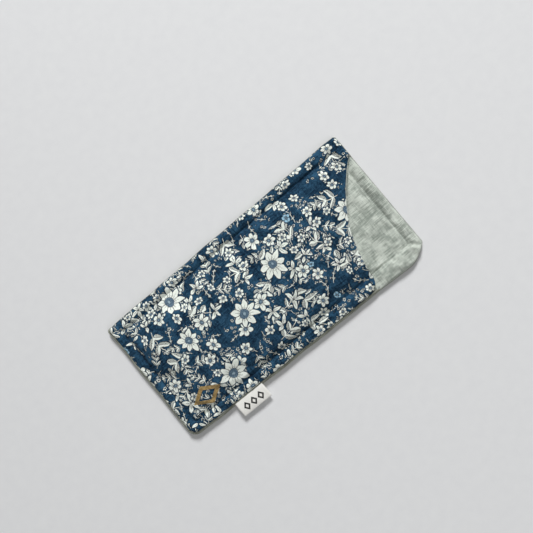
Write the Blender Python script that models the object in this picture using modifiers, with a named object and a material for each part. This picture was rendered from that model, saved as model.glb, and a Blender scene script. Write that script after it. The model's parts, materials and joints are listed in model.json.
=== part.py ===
"""Soft pouch case for a pair of glasses.

A padded back panel runs the full length.  A padded front panel lies on it and is topstitched
to it around three sides.  The front stops at a slanted mouth, and the back goes on past the
mouth as a padded flap with one clipped corner.  A foil mark is pressed on the front, and a
folded label is caught in the side seam.

Frame: X runs along the case, from the closed end (-X) to the mouth end (+X).  +Y is the side
where the mouth reaches furthest.  The case lies on its back at Z = 0, and its middle is the origin.
Units are metres.
"""

import math

import bmesh
import bpy
from mathutils import Vector

# ---------------------------------------------------------------- driving dimensions
LENGTH = 0.180           # closed end to mouth end
CLOSED_WIDTH = 0.084     # across the closed end
MOUTH_WIDTH = 0.089      # across the mouth end
CLIP_LENGTH = 0.0095     # clipped corner of the flap, along X
CLIP_WIDTH = 0.0070      # clipped corner of the flap, along Y
STITCH_INSET = 0.0075    # topstitching to the outer edge

MOUTH_SLANT = 0.0355     # how far the mouth falls back at the -Y side
MOUTH_SHOULDER = 0.0145  # front corner to the start of the mouth, along the mouth end
MOUTH_CURVE = 2.5        # 1 is a straight mouth, more bows it towards the closed end

CLOTH = 0.0006           # printed cotton and backing linen
LINING = 0.0005          # lining linen
WADDING = 0.0012         # fleece in the panels
PRESSED_WADDING = 0.0008  # fleece in the stitched border
POCKET_HEIGHT = 0.0055   # hollow between the linings, at its highest
CROWN_RUN = 0.032        # the front rises to full height over this length from the closed end

THREAD = 0.0004          # sewing thread
FOIL = 0.0003            # pressed foil
FOIL_LENGTH = 0.021      # foil mark, along X
FOIL_WIDTH = 0.013       # foil mark, along Y
FOIL_STROKE = 0.0023     # width of the foil line
FOIL_FROM_END = 0.0245   # closed end to the middle of the foil mark
FOIL_FROM_SIDE = 0.0160  # -Y side to the middle of the foil mark

LABEL_WIDTH = 0.0205     # folded label, along the seam
LABEL_REACH = 0.0083     # folded label, seam to fold
LABEL_TAPE = 0.0003      # woven tape
LABEL_LOOP = 0.0006      # half the height of the loop at the fold
LABEL_FROM_END = 0.0430  # closed end to the middle of the label

# ---------------------------------------------------------------- clearances
GAP = 0.0003             # between pieces that touch
PANEL_GAP = 0.0003       # stitch line to the edge of the lifting front panel
LAYER_INSET = 0.0020     # wadding and lining stop short of the outer edge
FOLD_CLEARANCE = 0.0020  # mouth to the fold line of the flap
FOLD_GAP = 0.0006        # back panel to the flap, at the fold line
LABEL_STANDOFF = 0.0012  # seam to the root of the moving part of the label

# ---------------------------------------------------------------- heights that follow
BACK_WADDING_Z = CLOTH + GAP
BACK_LINING_Z = BACK_WADDING_Z + WADDING + GAP
BACK_TOP = BACK_LINING_Z + LINING
FRONT_LINING_Z = BACK_TOP + GAP
FRONT_WADDING_Z = FRONT_LINING_Z + LINING + GAP
BORDER_CLOTH_Z = FRONT_WADDING_Z + PRESSED_WADDING + GAP
BORDER_TOP = BORDER_CLOTH_Z + CLOTH
FRONT_CLOTH_Z = FRONT_WADDING_Z + WADDING + GAP
FRONT_EDGE_TOP = FRONT_CLOTH_Z + CLOTH
CROWN_RISE = POCKET_HEIGHT - GAP
SEAM_Z = BORDER_TOP / 2
SEAM_SLOT = THREAD + 2 * GAP
ROLL = SEAM_Z - SEAM_SLOT / 2

EDGE_STEPS = 4
LENGTH_STEPS = 14
WIDTH_STEPS = 16


# ---------------------------------------------------------------- outline
def half_width(x):
    """Half the width of the case at x."""
    share = x / LENGTH + 0.5
    return (CLOSED_WIDTH + (MOUTH_WIDTH - CLOSED_WIDTH) * share) / 2


MOUTH_LOW_X = LENGTH / 2 - MOUTH_SLANT
MOUTH_LOW_Y = -half_width(MOUTH_LOW_X)
MOUTH_HIGH_Y = MOUTH_WIDTH / 2 - MOUTH_SHOULDER


def mouth_x(y):
    """The slanted mouth edge as x at y."""
    share = (y - MOUTH_LOW_Y) / (MOUTH_HIGH_Y - MOUTH_LOW_Y)
    return MOUTH_LOW_X + MOUTH_SLANT * max(share, 0.0) ** MOUTH_CURVE


def mouth_y(x):
    """The slanted mouth edge as y at x."""
    share = max(x - MOUTH_LOW_X, 0.0) / MOUTH_SLANT
    return MOUTH_LOW_Y + (MOUTH_HIGH_Y - MOUTH_LOW_Y) * share ** (1 / MOUTH_CURVE)


def fold_line():
    """A point on the flap's fold line, its direction, and the way that the flap lies from it."""
    low = Vector((MOUTH_LOW_X, MOUTH_LOW_Y, 0))
    high = Vector((LENGTH / 2, MOUTH_HIGH_Y, 0))
    along = (high - low).normalized()
    outward = Vector((along.y, -along.x, 0))
    return (low + high) / 2 + outward * FOLD_CLEARANCE, along, outward


FOLD_POINT, FOLD_ALONG, FOLD_OUTWARD = fold_line()


def fold_x(y, offset=0.0):
    """The fold line as x at y, moved towards the flap by offset."""
    start = FOLD_POINT + FOLD_OUTWARD * offset
    return start.x + (y - start.y) * FOLD_ALONG.x / FOLD_ALONG.y


def fold_y(x, offset=0.0):
    """The fold line as y at x, moved towards the flap by offset."""
    start = FOLD_POINT + FOLD_OUTWARD * offset
    return start.y + (x - start.x) * FOLD_ALONG.y / FOLD_ALONG.x


def flap_end_x(y, inset):
    """Outer edge of the flap as x at y: the mouth end, then the clipped corner."""
    clip_start = -MOUTH_WIDTH / 2 + CLIP_WIDTH
    into_clip = (clip_start - y + inset) / CLIP_WIDTH
    return LENGTH / 2 - inset - CLIP_LENGTH * max(into_clip, 0.0)


# ---------------------------------------------------------------- placing points
def lerp(start, end, share):
    return start + (end - start) * share


def on_panel(across, along, near, far, inset):
    """A point of a panel: across runs -1 to 1 over the width, along runs 0 to 1 from near to far."""
    ends = []
    for edge in (near, far):
        x = 0.0
        for _ in range(6):
            x = edge(across * (half_width(x) - inset))
        ends.append(x)
    x = lerp(ends[0], ends[1], along)
    return x, across * (half_width(x) - inset)


def rows_with(corner, low, high, steps):
    """Even stops from low to high, with one of them exactly on the corner of the edge."""
    before = min(max(round(steps * (corner - low) / (high - low)), 1), steps - 1)
    stops = [lerp(low, corner, i / before) for i in range(before)]
    after = steps - before
    return stops + [lerp(corner, high, i / after) for i in range(after + 1)]


def border_point(travel, inset):
    """A point on the border: travel runs 0 to 4 around it, from the -Y mouth corner by the closed end."""
    low_x = mouth_x(-half_width(MOUTH_LOW_X) + inset)
    closed_x = -LENGTH / 2 + inset
    open_x = LENGTH / 2 - inset
    stops = [
        (low_x, -half_width(low_x) + inset),
        (closed_x, -half_width(closed_x) + inset),
        (closed_x, half_width(closed_x) - inset),
        (open_x, half_width(open_x) - inset),
        (open_x, mouth_y(open_x)),
    ]
    leg = min(int(travel), 3)
    share = travel - leg
    return tuple(lerp(a, b, share) for a, b in zip(stops[leg], stops[leg + 1]))


def flap_edge_point(travel, inset):
    """A point on the flap's free edges: travel runs 0 to 3 from the -Y side by the clipped corner."""
    side_y = -half_width(LENGTH / 2 - CLIP_LENGTH) + inset
    open_x = LENGTH / 2 - inset
    stops = [
        (fold_x(side_y, FOLD_GAP + inset), side_y),
        (LENGTH / 2 - CLIP_LENGTH - inset / 2, side_y),
        (open_x, -MOUTH_WIDTH / 2 + CLIP_WIDTH + inset / 2),
        (open_x, fold_y(open_x, FOLD_GAP + inset)),
    ]
    leg = min(int(travel), 2)
    share = travel - leg
    return tuple(lerp(a, b, share) for a, b in zip(stops[leg], stops[leg + 1]))


def crown(x, y):
    """How far the front panel has risen at x, y, from 0 at its stitched edges."""
    side = min(abs(y) / (half_width(x) - STITCH_INSET), 1.0)
    run = (x + LENGTH / 2 - STITCH_INSET) / CROWN_RUN
    end = 1 - (1 - min(max(run, 0.0), 1.0)) ** 3
    return CROWN_RISE * end * (1 - side ** 4)


# ---------------------------------------------------------------- scene helpers
def clear_scene():
    for item in list(bpy.data.objects):
        bpy.data.objects.remove(item, do_unlink=True)


def new_collection(name):
    collection = bpy.data.collections.new(name)
    bpy.context.scene.collection.children.link(collection)
    return collection


def material(name, colour, roughness, metallic=0.0):
    made = bpy.data.materials.new(name)
    made.use_nodes = True
    shader = made.node_tree.nodes["Principled BSDF"]
    shader.inputs["Base Color"].default_value = (*colour, 1)
    shader.inputs["Roughness"].default_value = roughness
    shader.inputs["Metallic"].default_value = metallic
    return made


def hinge_empty(name, place, collection):
    empty = bpy.data.objects.new(name, None)
    empty.location = place
    collection.objects.link(empty)
    return empty


def add_object(name, data, finish, collection, hinge=None):
    """Puts a mesh or curve made in world places in the scene, hung on its hinge if it has one."""
    made = bpy.data.objects.new(name, data)
    data.materials.append(finish)
    collection.objects.link(made)
    if hinge is not None:
        made.parent = hinge
        made.location = -hinge.location
    return made


# ---------------------------------------------------------------- shape helpers
def grid(columns, rows, place):
    """A bmesh grid whose point (column, row), each 0 to 1, goes to place(column, row)."""
    sheet = bmesh.new()
    bmesh.ops.create_grid(sheet, x_segments=columns, y_segments=rows, size=0.5)
    for vertex in sheet.verts:
        vertex.co = place(vertex.co.x + 0.5, vertex.co.y + 0.5)
    sheet.normal_update()
    return sheet


def finish_mesh(sheet, name, skin_side=0):
    """Turns a bmesh into a mesh; an open skin faces up (skin_side 1) or down (-1)."""
    if skin_side:
        facing = sum(face.normal.z * face.calc_area() for face in sheet.faces)
        if facing * skin_side < 0:
            bmesh.ops.reverse_faces(sheet, faces=sheet.faces)
    else:
        bmesh.ops.recalc_face_normals(sheet, faces=sheet.faces)
    mesh = bpy.data.meshes.new(name)
    sheet.to_mesh(mesh)
    sheet.free()
    mesh.shade_smooth()
    mesh.set_sharp_from_angle(angle=math.radians(40))
    return mesh


def thicken(sheet, thickness):
    """Extrudes a whole sheet straight up."""
    raised = bmesh.ops.extrude_face_region(sheet, geom=sheet.faces[:])
    points = [item for item in raised["geom"] if isinstance(item, bmesh.types.BMVert)]
    bmesh.ops.translate(sheet, vec=(0, 0, thickness), verts=points)


def slab(name, columns, rows, place, thickness):
    """A sheet of one thickness, measured straight up."""
    sheet = grid(columns, rows, place)
    thicken(sheet, thickness)
    return finish_mesh(sheet, name)


def add_wall(target, thickness, side):
    """Gives an open skin its cloth thickness, on one side of the skin."""
    wall = target.modifiers.new("cloth", "SOLIDIFY")
    wall.thickness = thickness
    wall.offset = side


def thread_curve(name, points, cyclic=False):
    """A sewing thread as a round curve through the points."""
    curve = bpy.data.curves.new(name, "CURVE")
    curve.dimensions = "3D"
    curve.bevel_depth = THREAD / 2
    curve.bevel_resolution = 0
    curve.use_fill_caps = True
    spline = curve.splines.new("POLY")
    spline.points.add(len(points) - 1)
    for slot, point in zip(spline.points, points):
        slot.co = (*point, 1)
    spline.use_cyclic_u = cyclic
    return curve


def roll_step(share):
    """A rolled edge: how far in and how far up its point is, as share runs 0 to 1 from the rim."""
    turn = share * math.pi / 2
    return ROLL * (1 - math.cos(turn)), ROLL * (1 - math.sin(turn))


def edge_stops(near_rolled, far_rolled, steps):
    """Stops across a sheet: (share of the flat, roll at the near edge, roll at the far edge)."""
    rolled = [i / EDGE_STEPS for i in range(EDGE_STEPS)]
    stops = [(0.0, r, 1.0) for r in rolled] if near_rolled else []
    stops += [(i / steps, 1.0, 1.0) for i in range(steps + 1)]
    if far_rolled:
        stops += [(1.0, 1.0, r) for r in reversed(rolled)]
    return stops


# ---------------------------------------------------------------- back panel
def closed_edge(inset):
    return lambda y: -LENGTH / 2 + inset


def back_far_edge(inset):
    return lambda y: min(fold_x(y), LENGTH / 2 - inset)


def back_rows(inset):
    """Rows across the back, one of them where the fold line reaches the mouth end."""
    open_x = LENGTH / 2 - inset
    corner = fold_y(open_x) / (half_width(open_x) - inset)
    return rows_with(corner, -1.0, 1.0, WIDTH_STEPS)


def back_outer_mesh():
    """Backing cloth: flat, with its closed end and sides rolled up to the seam."""
    along = edge_stops(True, False, LENGTH_STEPS)
    across = edge_stops(True, True, WIDTH_STEPS)
    rows = back_rows(0.0)

    def place(column, row):
        flat_x, near_x, _ = along[round(column * (len(along) - 1))]
        flat_y, near_y, far_y = across[round(row * (len(across) - 1))]
        end_in, end_up = roll_step(near_x)
        low_in, low_up = roll_step(near_y)
        high_in, high_up = roll_step(far_y)
        side_in = low_in if flat_y < 0.5 else high_in
        reach = rows[round(flat_y * WIDTH_STEPS)]
        x, y = on_panel(reach, flat_x, closed_edge(end_in), back_far_edge(0.0), side_in)
        return Vector((x, y, max(end_up, low_up, high_up)))

    return finish_mesh(grid(len(along) - 1, len(across) - 1, place), "back_outer", -1)


def back_slab(name, height, thickness):
    """A flat inner layer of the back panel."""
    rows = back_rows(LAYER_INSET)
    near, far = closed_edge(LAYER_INSET), back_far_edge(LAYER_INSET)

    def place(column, row):
        x, y = on_panel(rows[round(row * WIDTH_STEPS)], column, near, far, LAYER_INSET)
        return Vector((x, y, height))

    return slab(name, 4, WIDTH_STEPS, place, thickness)


# ---------------------------------------------------------------- stitched border of the front
BORDER_STEPS = 24


def border_outer_mesh():
    """Printed cloth over the border, its outer edge rolled down to the seam."""
    inner = STITCH_INSET - PANEL_GAP

    def place(column, row):
        travel = 4 * column
        step = round(row * (EDGE_STEPS + 1))
        if step > EDGE_STEPS:
            x, y = border_point(travel, inner)
            return Vector((x, y, BORDER_TOP))
        inset, drop = roll_step(step / EDGE_STEPS)
        x, y = border_point(travel, inset)
        return Vector((x, y, BORDER_TOP - drop))

    return finish_mesh(grid(BORDER_STEPS, EDGE_STEPS + 1, place), "border_outer", 1)


def border_slab(name, height, thickness):
    """A flat inner layer of the border."""

    def place(column, row):
        inset = lerp(LAYER_INSET, STITCH_INSET - PANEL_GAP, row)
        x, y = border_point(4 * column, inset)
        return Vector((x, y, height))

    return slab(name, BORDER_STEPS, 1, place, thickness)


def border_thread(name, inset, height, steps=48):
    points = [(*border_point(4 * i / steps, inset), height) for i in range(steps + 1)]
    return thread_curve(name, points)


# ---------------------------------------------------------------- lifting front panel
def front_far_edge(short):
    """The mouth, or the stitch line where the mouth lies beyond it."""
    stitch = LENGTH / 2 - STITCH_INSET - PANEL_GAP
    return lambda y: min(mouth_x(y) - short, stitch)


def front_place(across, along, short):
    inset = STITCH_INSET + PANEL_GAP
    return on_panel(across, along, closed_edge(inset), front_far_edge(short), inset)


def front_slab(name, height, thickness, short=0.0):
    """One layer of the domed front panel; short is how far it stops before the mouth."""
    stitch_x = LENGTH / 2 - STITCH_INSET - PANEL_GAP
    corner = mouth_y(stitch_x + short) / (half_width(stitch_x) - STITCH_INSET - PANEL_GAP)
    rows = rows_with(corner, -1.0, 1.0, WIDTH_STEPS)

    def place(column, row):
        x, y = front_place(rows[round(row * WIDTH_STEPS)], column, short)
        return Vector((x, y, height + crown(x, y)))

    return slab(name, LENGTH_STEPS, WIDTH_STEPS, place, thickness)


def mouth_thread(name, steps=20):
    """The thread that joins cloth and lining along the mouth, inside the edge."""
    height = FRONT_LINING_Z + LINING + GAP + THREAD / 2
    points = []
    for i in range(steps + 1):
        across = lerp(-0.97, 0.50, i / steps)
        x, y = front_place(across, 1.0, LAYER_INSET / 2)
        points.append((x, y, height + crown(x, y)))
    return thread_curve(name, points)


def foil_mesh():
    """A diamond outline pressed on the front, following its rise."""
    middle = Vector((-LENGTH / 2 + FOIL_FROM_END, -CLOSED_WIDTH / 2 + FOIL_FROM_SIDE, 0))
    mark = bmesh.new()
    bmesh.ops.create_circle(mark, cap_ends=True, segments=4, radius=0.5)
    bmesh.ops.scale(mark, vec=(FOIL_LENGTH, FOIL_WIDTH, 1), verts=mark.verts)
    bmesh.ops.inset_region(
        mark, faces=mark.faces[:], thickness=FOIL_STROKE, use_boundary=True, use_even_offset=True
    )
    inner = [face for face in mark.faces if face.calc_center_median().length < FOIL_STROKE / 2]
    bmesh.ops.delete(mark, geom=inner, context="FACES")
    bmesh.ops.subdivide_edges(mark, edges=mark.edges[:], cuts=3, use_grid_fill=True)
    for vertex in mark.verts:
        x, y = vertex.co.x + middle.x, vertex.co.y + middle.y
        vertex.co = (x, y, FRONT_EDGE_TOP + crown(x, y) + GAP)
    thicken(mark, FOIL)
    return finish_mesh(mark, "foil_mark")


# ---------------------------------------------------------------- flap
FLAP_STEPS = 14
FLAP_TIP = 0.0015        # shortest row of the flap, at its pointed top


def flap_top_share(inset):
    """Where the flap ends at the top, as a share of the half width."""
    top_x = LENGTH / 2 - inset
    return fold_y(top_x - FLAP_TIP, FOLD_GAP + inset) / (half_width(top_x) - inset)


def flap_slab(name, height, thickness, inset=0.0):
    """One flat layer of the flap."""
    clip = (inset + CLIP_WIDTH - MOUTH_WIDTH / 2) / (half_width(LENGTH / 2) - inset)
    rows = rows_with(clip, -1.0, flap_top_share(inset), FLAP_STEPS)

    def near(y):
        return fold_x(y, FOLD_GAP + inset)

    def far(y):
        return flap_end_x(y, inset)

    def place(column, row):
        x, y = on_panel(rows[round(row * FLAP_STEPS)], column, near, far, inset)
        return Vector((x, y, height))

    return slab(name, 2, FLAP_STEPS, place, thickness)


def flap_thread(name, inset, height, steps=24):
    points = [(*flap_edge_point(3 * i / steps, inset), height) for i in range(steps + 1)]
    return thread_curve(name, points)


# ---------------------------------------------------------------- label
LABEL_X = -LENGTH / 2 + LABEL_FROM_END
LABEL_ROOT = Vector((LABEL_X, -half_width(LABEL_X), SEAM_Z))


def label_mesh():
    """A woven tape folded into a loop, from just outside the seam out to its fold and back."""
    straight = 4
    round_steps = 6
    reach = LABEL_REACH - LABEL_LOOP - LABEL_TAPE / 2
    layer = LABEL_TAPE
    profile = [(lerp(LABEL_STANDOFF, reach, i / straight), lerp(layer, LABEL_LOOP, i / straight))
               for i in range(straight)]
    for i in range(round_steps + 1):
        turn = math.pi / 2 - math.pi * i / round_steps
        profile.append((reach + LABEL_LOOP * math.cos(turn), LABEL_LOOP * math.sin(turn)))
    profile += [(out, -up) for out, up in reversed(profile[:straight])]

    def place(column, row):
        out, up = profile[round(column * (len(profile) - 1))]
        x = LABEL_ROOT.x + (row - 0.5) * LABEL_WIDTH
        return Vector((x, LABEL_ROOT.y - out, LABEL_ROOT.z + up))

    return finish_mesh(grid(len(profile) - 1, 2, place), "side_label")


# ---------------------------------------------------------------- the case
def build_back(parts):
    linen = material("back_linen", (0.30, 0.32, 0.28), 0.92)
    fleece = material("back_fleece", (0.88, 0.87, 0.83), 1.0)
    lining = material("lining_linen", (0.55, 0.60, 0.56), 0.92)
    outer = add_object("back_outer", back_outer_mesh(), linen, parts)
    add_wall(outer, CLOTH, -1)
    wadding = back_slab("back_wadding", BACK_WADDING_Z, WADDING)
    add_object("back_wadding", wadding, fleece, parts)
    inside = back_slab("back_lining", BACK_LINING_Z, LINING)
    add_object("back_lining", inside, lining, parts)


def build_border(parts):
    print_cloth = material("border_print", (0.07, 0.16, 0.30), 0.88)
    fleece = material("border_fleece", (0.88, 0.87, 0.83), 1.0)
    lining = material("border_linen", (0.55, 0.60, 0.56), 0.92)
    thread = material("seam_thread", (0.20, 0.26, 0.34), 0.6)
    top_thread = material("topstitch_thread", (0.10, 0.18, 0.32), 0.55)
    outer = add_object("border_outer", border_outer_mesh(), print_cloth, parts)
    add_wall(outer, CLOTH, -1)
    wadding = border_slab("border_wadding", FRONT_WADDING_Z, PRESSED_WADDING)
    add_object("border_wadding", wadding, fleece, parts)
    inside = border_slab("border_lining", FRONT_LINING_Z, LINING)
    add_object("border_lining", inside, lining, parts)
    seam = border_thread("perimeter_seam_thread", THREAD / 2 + GAP, SEAM_Z)
    add_object("perimeter_seam_thread", seam, thread, parts)
    stitch_in = STITCH_INSET - PANEL_GAP - THREAD
    stitch = border_thread("border_topstitch_thread", stitch_in, BORDER_TOP + GAP + THREAD / 2)
    add_object("border_topstitch_thread", stitch, top_thread, parts)


def build_front(parts):
    place = (-LENGTH / 2 + STITCH_INSET, 0, FRONT_EDGE_TOP)
    hinge = hinge_empty("mouth_hinge", place, parts)
    print_cloth = material("front_print", (0.07, 0.16, 0.30), 0.88)
    fleece = material("front_fleece", (0.88, 0.87, 0.83), 1.0)
    lining = material("front_linen", (0.55, 0.60, 0.56), 0.92)
    thread = material("mouth_thread", (0.20, 0.26, 0.34), 0.6)
    gold = material("gold_foil", (0.55, 0.38, 0.12), 0.38, 1.0)
    outer = front_slab("front_outer", FRONT_CLOTH_Z, CLOTH)
    add_object("front_outer", outer, print_cloth, parts, hinge)
    wadding = front_slab("front_wadding", FRONT_WADDING_Z, WADDING, LAYER_INSET)
    add_object("front_wadding", wadding, fleece, parts, hinge)
    inside = front_slab("front_lining", FRONT_LINING_Z, LINING)
    add_object("front_lining", inside, lining, parts, hinge)
    seam = mouth_thread("mouth_seam_thread")
    add_object("mouth_seam_thread", seam, thread, parts, hinge)
    add_object("foil_mark", foil_mesh(), gold, parts, hinge)


def build_flap(parts):
    place = (FOLD_POINT.x, FOLD_POINT.y, BACK_TOP)
    hinge = hinge_empty("flap_hinge", place, parts)
    linen = material("flap_linen", (0.30, 0.32, 0.28), 0.92)
    fleece = material("flap_fleece", (0.88, 0.87, 0.83), 1.0)
    lining = material("flap_lining_linen", (0.55, 0.60, 0.56), 0.92)
    thread = material("flap_thread", (0.45, 0.49, 0.46), 0.6)
    top_thread = material("flap_topstitch", (0.42, 0.46, 0.43), 0.55)
    outer = flap_slab("flap_outer", 0.0, CLOTH)
    add_object("flap_outer", outer, linen, parts, hinge)
    wadding = flap_slab("flap_wadding", BACK_WADDING_Z, WADDING, LAYER_INSET)
    add_object("flap_wadding", wadding, fleece, parts, hinge)
    inside = flap_slab("flap_lining", BACK_LINING_Z, LINING)
    add_object("flap_lining", inside, lining, parts, hinge)
    seam_height = CLOTH + GAP + THREAD / 2
    seam = flap_thread("flap_seam_thread", LAYER_INSET / 2, seam_height)
    add_object("flap_seam_thread", seam, thread, parts, hinge)
    stitch = flap_thread("flap_topstitch_thread", STITCH_INSET, BACK_TOP + GAP + THREAD / 2)
    add_object("flap_topstitch_thread", stitch, top_thread, parts, hinge)


def build_label(parts):
    hinge = hinge_empty("label_hinge", LABEL_ROOT, parts)
    tape = material("label_tape", (0.86, 0.86, 0.82), 0.8)
    label = add_object("side_label", label_mesh(), tape, parts, hinge)
    add_wall(label, LABEL_TAPE, 0)


def main():
    clear_scene()
    parts = new_collection("glasses_pouch")
    build_back(parts)
    build_border(parts)
    build_front(parts)
    build_flap(parts)
    build_label(parts)


main()
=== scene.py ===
# %% [markdown]
# # A soft padded pouch for glasses
# The pouch is two quilted panels.  The back is grey linen outside and pale linen inside, and it
# runs on past the mouth as a flap.  The front is a printed cotton, padded and lined, and its
# mouth is cut on a slant.  Both are sewn round the edge, turned right side out and topstitched.
# Every layer here is its own sheet of cloth, shaped from a grid by the same few height formulas,
# so that the layers follow each other.

# %% Load the frame
import json
import math

import bmesh
import bpy
from mathutils import Matrix, Vector, noise
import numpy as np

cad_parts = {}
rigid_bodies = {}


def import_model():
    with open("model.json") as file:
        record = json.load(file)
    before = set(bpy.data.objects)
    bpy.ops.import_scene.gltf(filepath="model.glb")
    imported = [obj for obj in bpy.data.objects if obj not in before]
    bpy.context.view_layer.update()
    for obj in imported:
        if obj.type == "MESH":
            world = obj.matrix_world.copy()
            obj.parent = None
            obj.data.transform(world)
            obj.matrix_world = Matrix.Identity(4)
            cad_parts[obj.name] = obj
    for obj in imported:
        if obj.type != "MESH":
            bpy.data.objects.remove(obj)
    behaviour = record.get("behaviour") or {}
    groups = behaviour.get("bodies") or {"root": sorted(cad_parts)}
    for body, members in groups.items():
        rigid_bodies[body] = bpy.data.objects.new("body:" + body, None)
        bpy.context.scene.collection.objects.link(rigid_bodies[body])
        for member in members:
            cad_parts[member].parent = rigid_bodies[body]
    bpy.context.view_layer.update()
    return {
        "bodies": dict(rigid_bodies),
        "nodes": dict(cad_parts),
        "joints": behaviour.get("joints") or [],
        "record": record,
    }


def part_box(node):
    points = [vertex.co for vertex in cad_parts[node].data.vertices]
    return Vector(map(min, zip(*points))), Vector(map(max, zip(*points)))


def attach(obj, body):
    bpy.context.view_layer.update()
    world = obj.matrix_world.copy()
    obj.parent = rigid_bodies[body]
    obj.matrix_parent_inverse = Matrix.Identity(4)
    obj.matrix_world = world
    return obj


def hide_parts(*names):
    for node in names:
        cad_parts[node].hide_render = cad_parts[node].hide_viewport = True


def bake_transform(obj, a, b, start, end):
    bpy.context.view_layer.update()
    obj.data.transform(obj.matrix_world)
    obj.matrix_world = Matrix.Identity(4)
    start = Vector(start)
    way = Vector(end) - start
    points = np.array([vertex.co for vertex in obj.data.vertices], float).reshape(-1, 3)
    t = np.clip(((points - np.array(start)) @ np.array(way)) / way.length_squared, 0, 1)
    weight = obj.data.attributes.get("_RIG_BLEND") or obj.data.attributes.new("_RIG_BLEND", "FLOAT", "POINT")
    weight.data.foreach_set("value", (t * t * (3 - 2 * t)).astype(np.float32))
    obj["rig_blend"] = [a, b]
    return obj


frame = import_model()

# %% Units and the outline
# Shapes are worked out in millimetres and made metres when a piece is finished.
MM = 0.001
CLOSED_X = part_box("back_outer")[0].x / MM
OPEN_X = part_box("flap_outer")[1].x / MM
MOUTH_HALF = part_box("border_outer")[1].y / MM
CLOSED_HALF = MOUTH_HALF - 2.5
print("closed end", round(CLOSED_X, 1), "mouth end", round(OPEN_X, 1), "half width", round(MOUTH_HALF, 1))


def lerp(start, end, share):
    return start + (end - start) * share


def clamp(value, low=0.0, high=1.0):
    return min(max(value, low), high)


def smooth(value, low, high):
    """Runs gently from 0 at low to 1 at high."""
    share = clamp((value - low) / (high - low))
    return share * share * (3 - 2 * share)


def half_width(x):
    return lerp(CLOSED_HALF, MOUTH_HALF, (x - CLOSED_X) / (OPEN_X - CLOSED_X))


# %% [markdown]
# ## The mouth
# The mouth edge starts at the low side, climbs almost straight across, and then sweeps out to the
# high corner.  One power curve gives that sweep, and its low corner is rounded when it is sewn.

# %% Mouth edge
MOUTH_LOW_X = 54.5
MOUTH_SLANT = OPEN_X - MOUTH_LOW_X
MOUTH_HIGH_Y = 30.0
MOUTH_CURVE = 2.5
MOUTH_CORNER = 8.0


def mouth_x(y):
    low = -half_width(MOUTH_LOW_X)
    share = max((y - low) / (MOUTH_HIGH_Y - low), 0.0)
    return MOUTH_LOW_X + MOUTH_SLANT * share ** MOUTH_CURVE


def rounded_mouth_x(y):
    """The mouth edge with its low corner rounded off."""
    into = clamp(MOUTH_CORNER - half_width(MOUTH_LOW_X) - y, 0.0, MOUTH_CORNER)
    return mouth_x(y) - MOUTH_CORNER + math.sqrt(max(MOUTH_CORNER ** 2 - into ** 2, 0.0))


def flapness(x, y):
    """0 under the front panel, 1 out on the bare flap."""
    return smooth(x - rounded_mouth_x(y), -1.0, 5.0)


print("mouth edge: x", round(mouth_x(-MOUTH_HALF), 1), "low,", round(mouth_x(0.0), 1), "in the middle")


# %% [markdown]
# ## The topstitching
# One line of stitches runs right round inside the edge, as the border printed below is wide.  It
# squeezes the fleece, so every layer dips towards it and puffs up on either side.

# %% Stitch line
STITCH_NEAR = CLOSED_X + 7.2
STITCH_FAR = OPEN_X - 7.4


def stitch_low(x):
    return lerp(-34.6, -33.2, (x - CLOSED_X) / (OPEN_X - CLOSED_X))


def stitch_high(x):
    return lerp(34.8, 36.8, (x - CLOSED_X) / (OPEN_X - CLOSED_X))


def soft_min(a, b, width=2.0):
    mix = max(width - abs(a - b), 0.0) / width
    return min(a, b) - mix * mix * width / 4


def inside_stitch(x, y):
    """Distance to the stitch line: positive inside it, negative on the border."""
    ends = soft_min(x - STITCH_NEAR, STITCH_FAR - x)
    return soft_min(ends, soft_min(y - stitch_low(x), stitch_high(x) - y))


print("border:", round(half_width(0.0) - stitch_high(0.0), 1), "mm wide on the high side,",
      round(half_width(0.0) + stitch_low(0.0), 1), "mm on the low side")

# %% [markdown]
# ## Unevenness
# Nothing sewn by hand is quite straight or flat.  Smooth noise gives slow swells, and the stitches
# pull small gathers into the cloth beside them.

# %% Unevenness of handmade cloth
def wave(x, y, length, seed):
    """A smooth random swell with about this wavelength, from -1 to 1."""
    return 1.6 * noise.noise(Vector((x / length, y / length, seed)))


def pucker(x, y):
    """Little gathers that the stitches pull into the cloth beside them."""
    near = math.exp(-abs(inside_stitch(x, y)) / 3.0)
    return near * (0.26 * wave(x, y, 5.0, 3.1) + 0.14 * wave(x, y, 2.6, 8.4))


# %% [markdown]
# ## Heights
# Each layer is a height above the table at a place on the pouch.  The groove is deepest on the
# stitch line, the border is a low roll, and the middle of the front rises over the pocket.

# %% Height of the front and the back
FRONT_PAD = 2.9          # cloth, fleece and lining of the front, together
GROOVE_TOP = 3.6
BORDER_TOP = 5.5
FRONT_TOP = 6.1
CROWN = 3.6
LIP_SINK = 1.3           # the lip of the mouth lies lower than the middle


def crown(x, y):
    """How far the front has risen over the pocket."""
    side = abs(y - (stitch_low(x) + stitch_high(x)) / 2) / ((stitch_high(x) - stitch_low(x)) / 2)
    end = 1 - (1 - clamp((x - STITCH_NEAR) / 40.0)) ** 3
    sink = LIP_SINK * smooth(x - mouth_x(y), -32.0, 0.0)
    return (CROWN * end - sink) * (1 - clamp(side) ** 3)


def front_drawn(x, y):
    """Top of the printed cloth as drawn, before it settles, away from its edges."""
    depth = inside_stitch(x, y)
    if depth < 0:
        rise = (BORDER_TOP - GROOVE_TOP) * (1 - math.exp(depth / 1.1))
    else:
        rise = (FRONT_TOP - GROOVE_TOP) * (1 - math.exp(-depth / 2.0)) + crown(x, y)
        rise += 0.34 * wave(x, y, 26.0, 1.7) * smooth(depth, 0.0, 12.0)
    return GROOVE_TOP + rise + pucker(x, y) * smooth(abs(depth), 0.2, 1.4)


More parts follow.
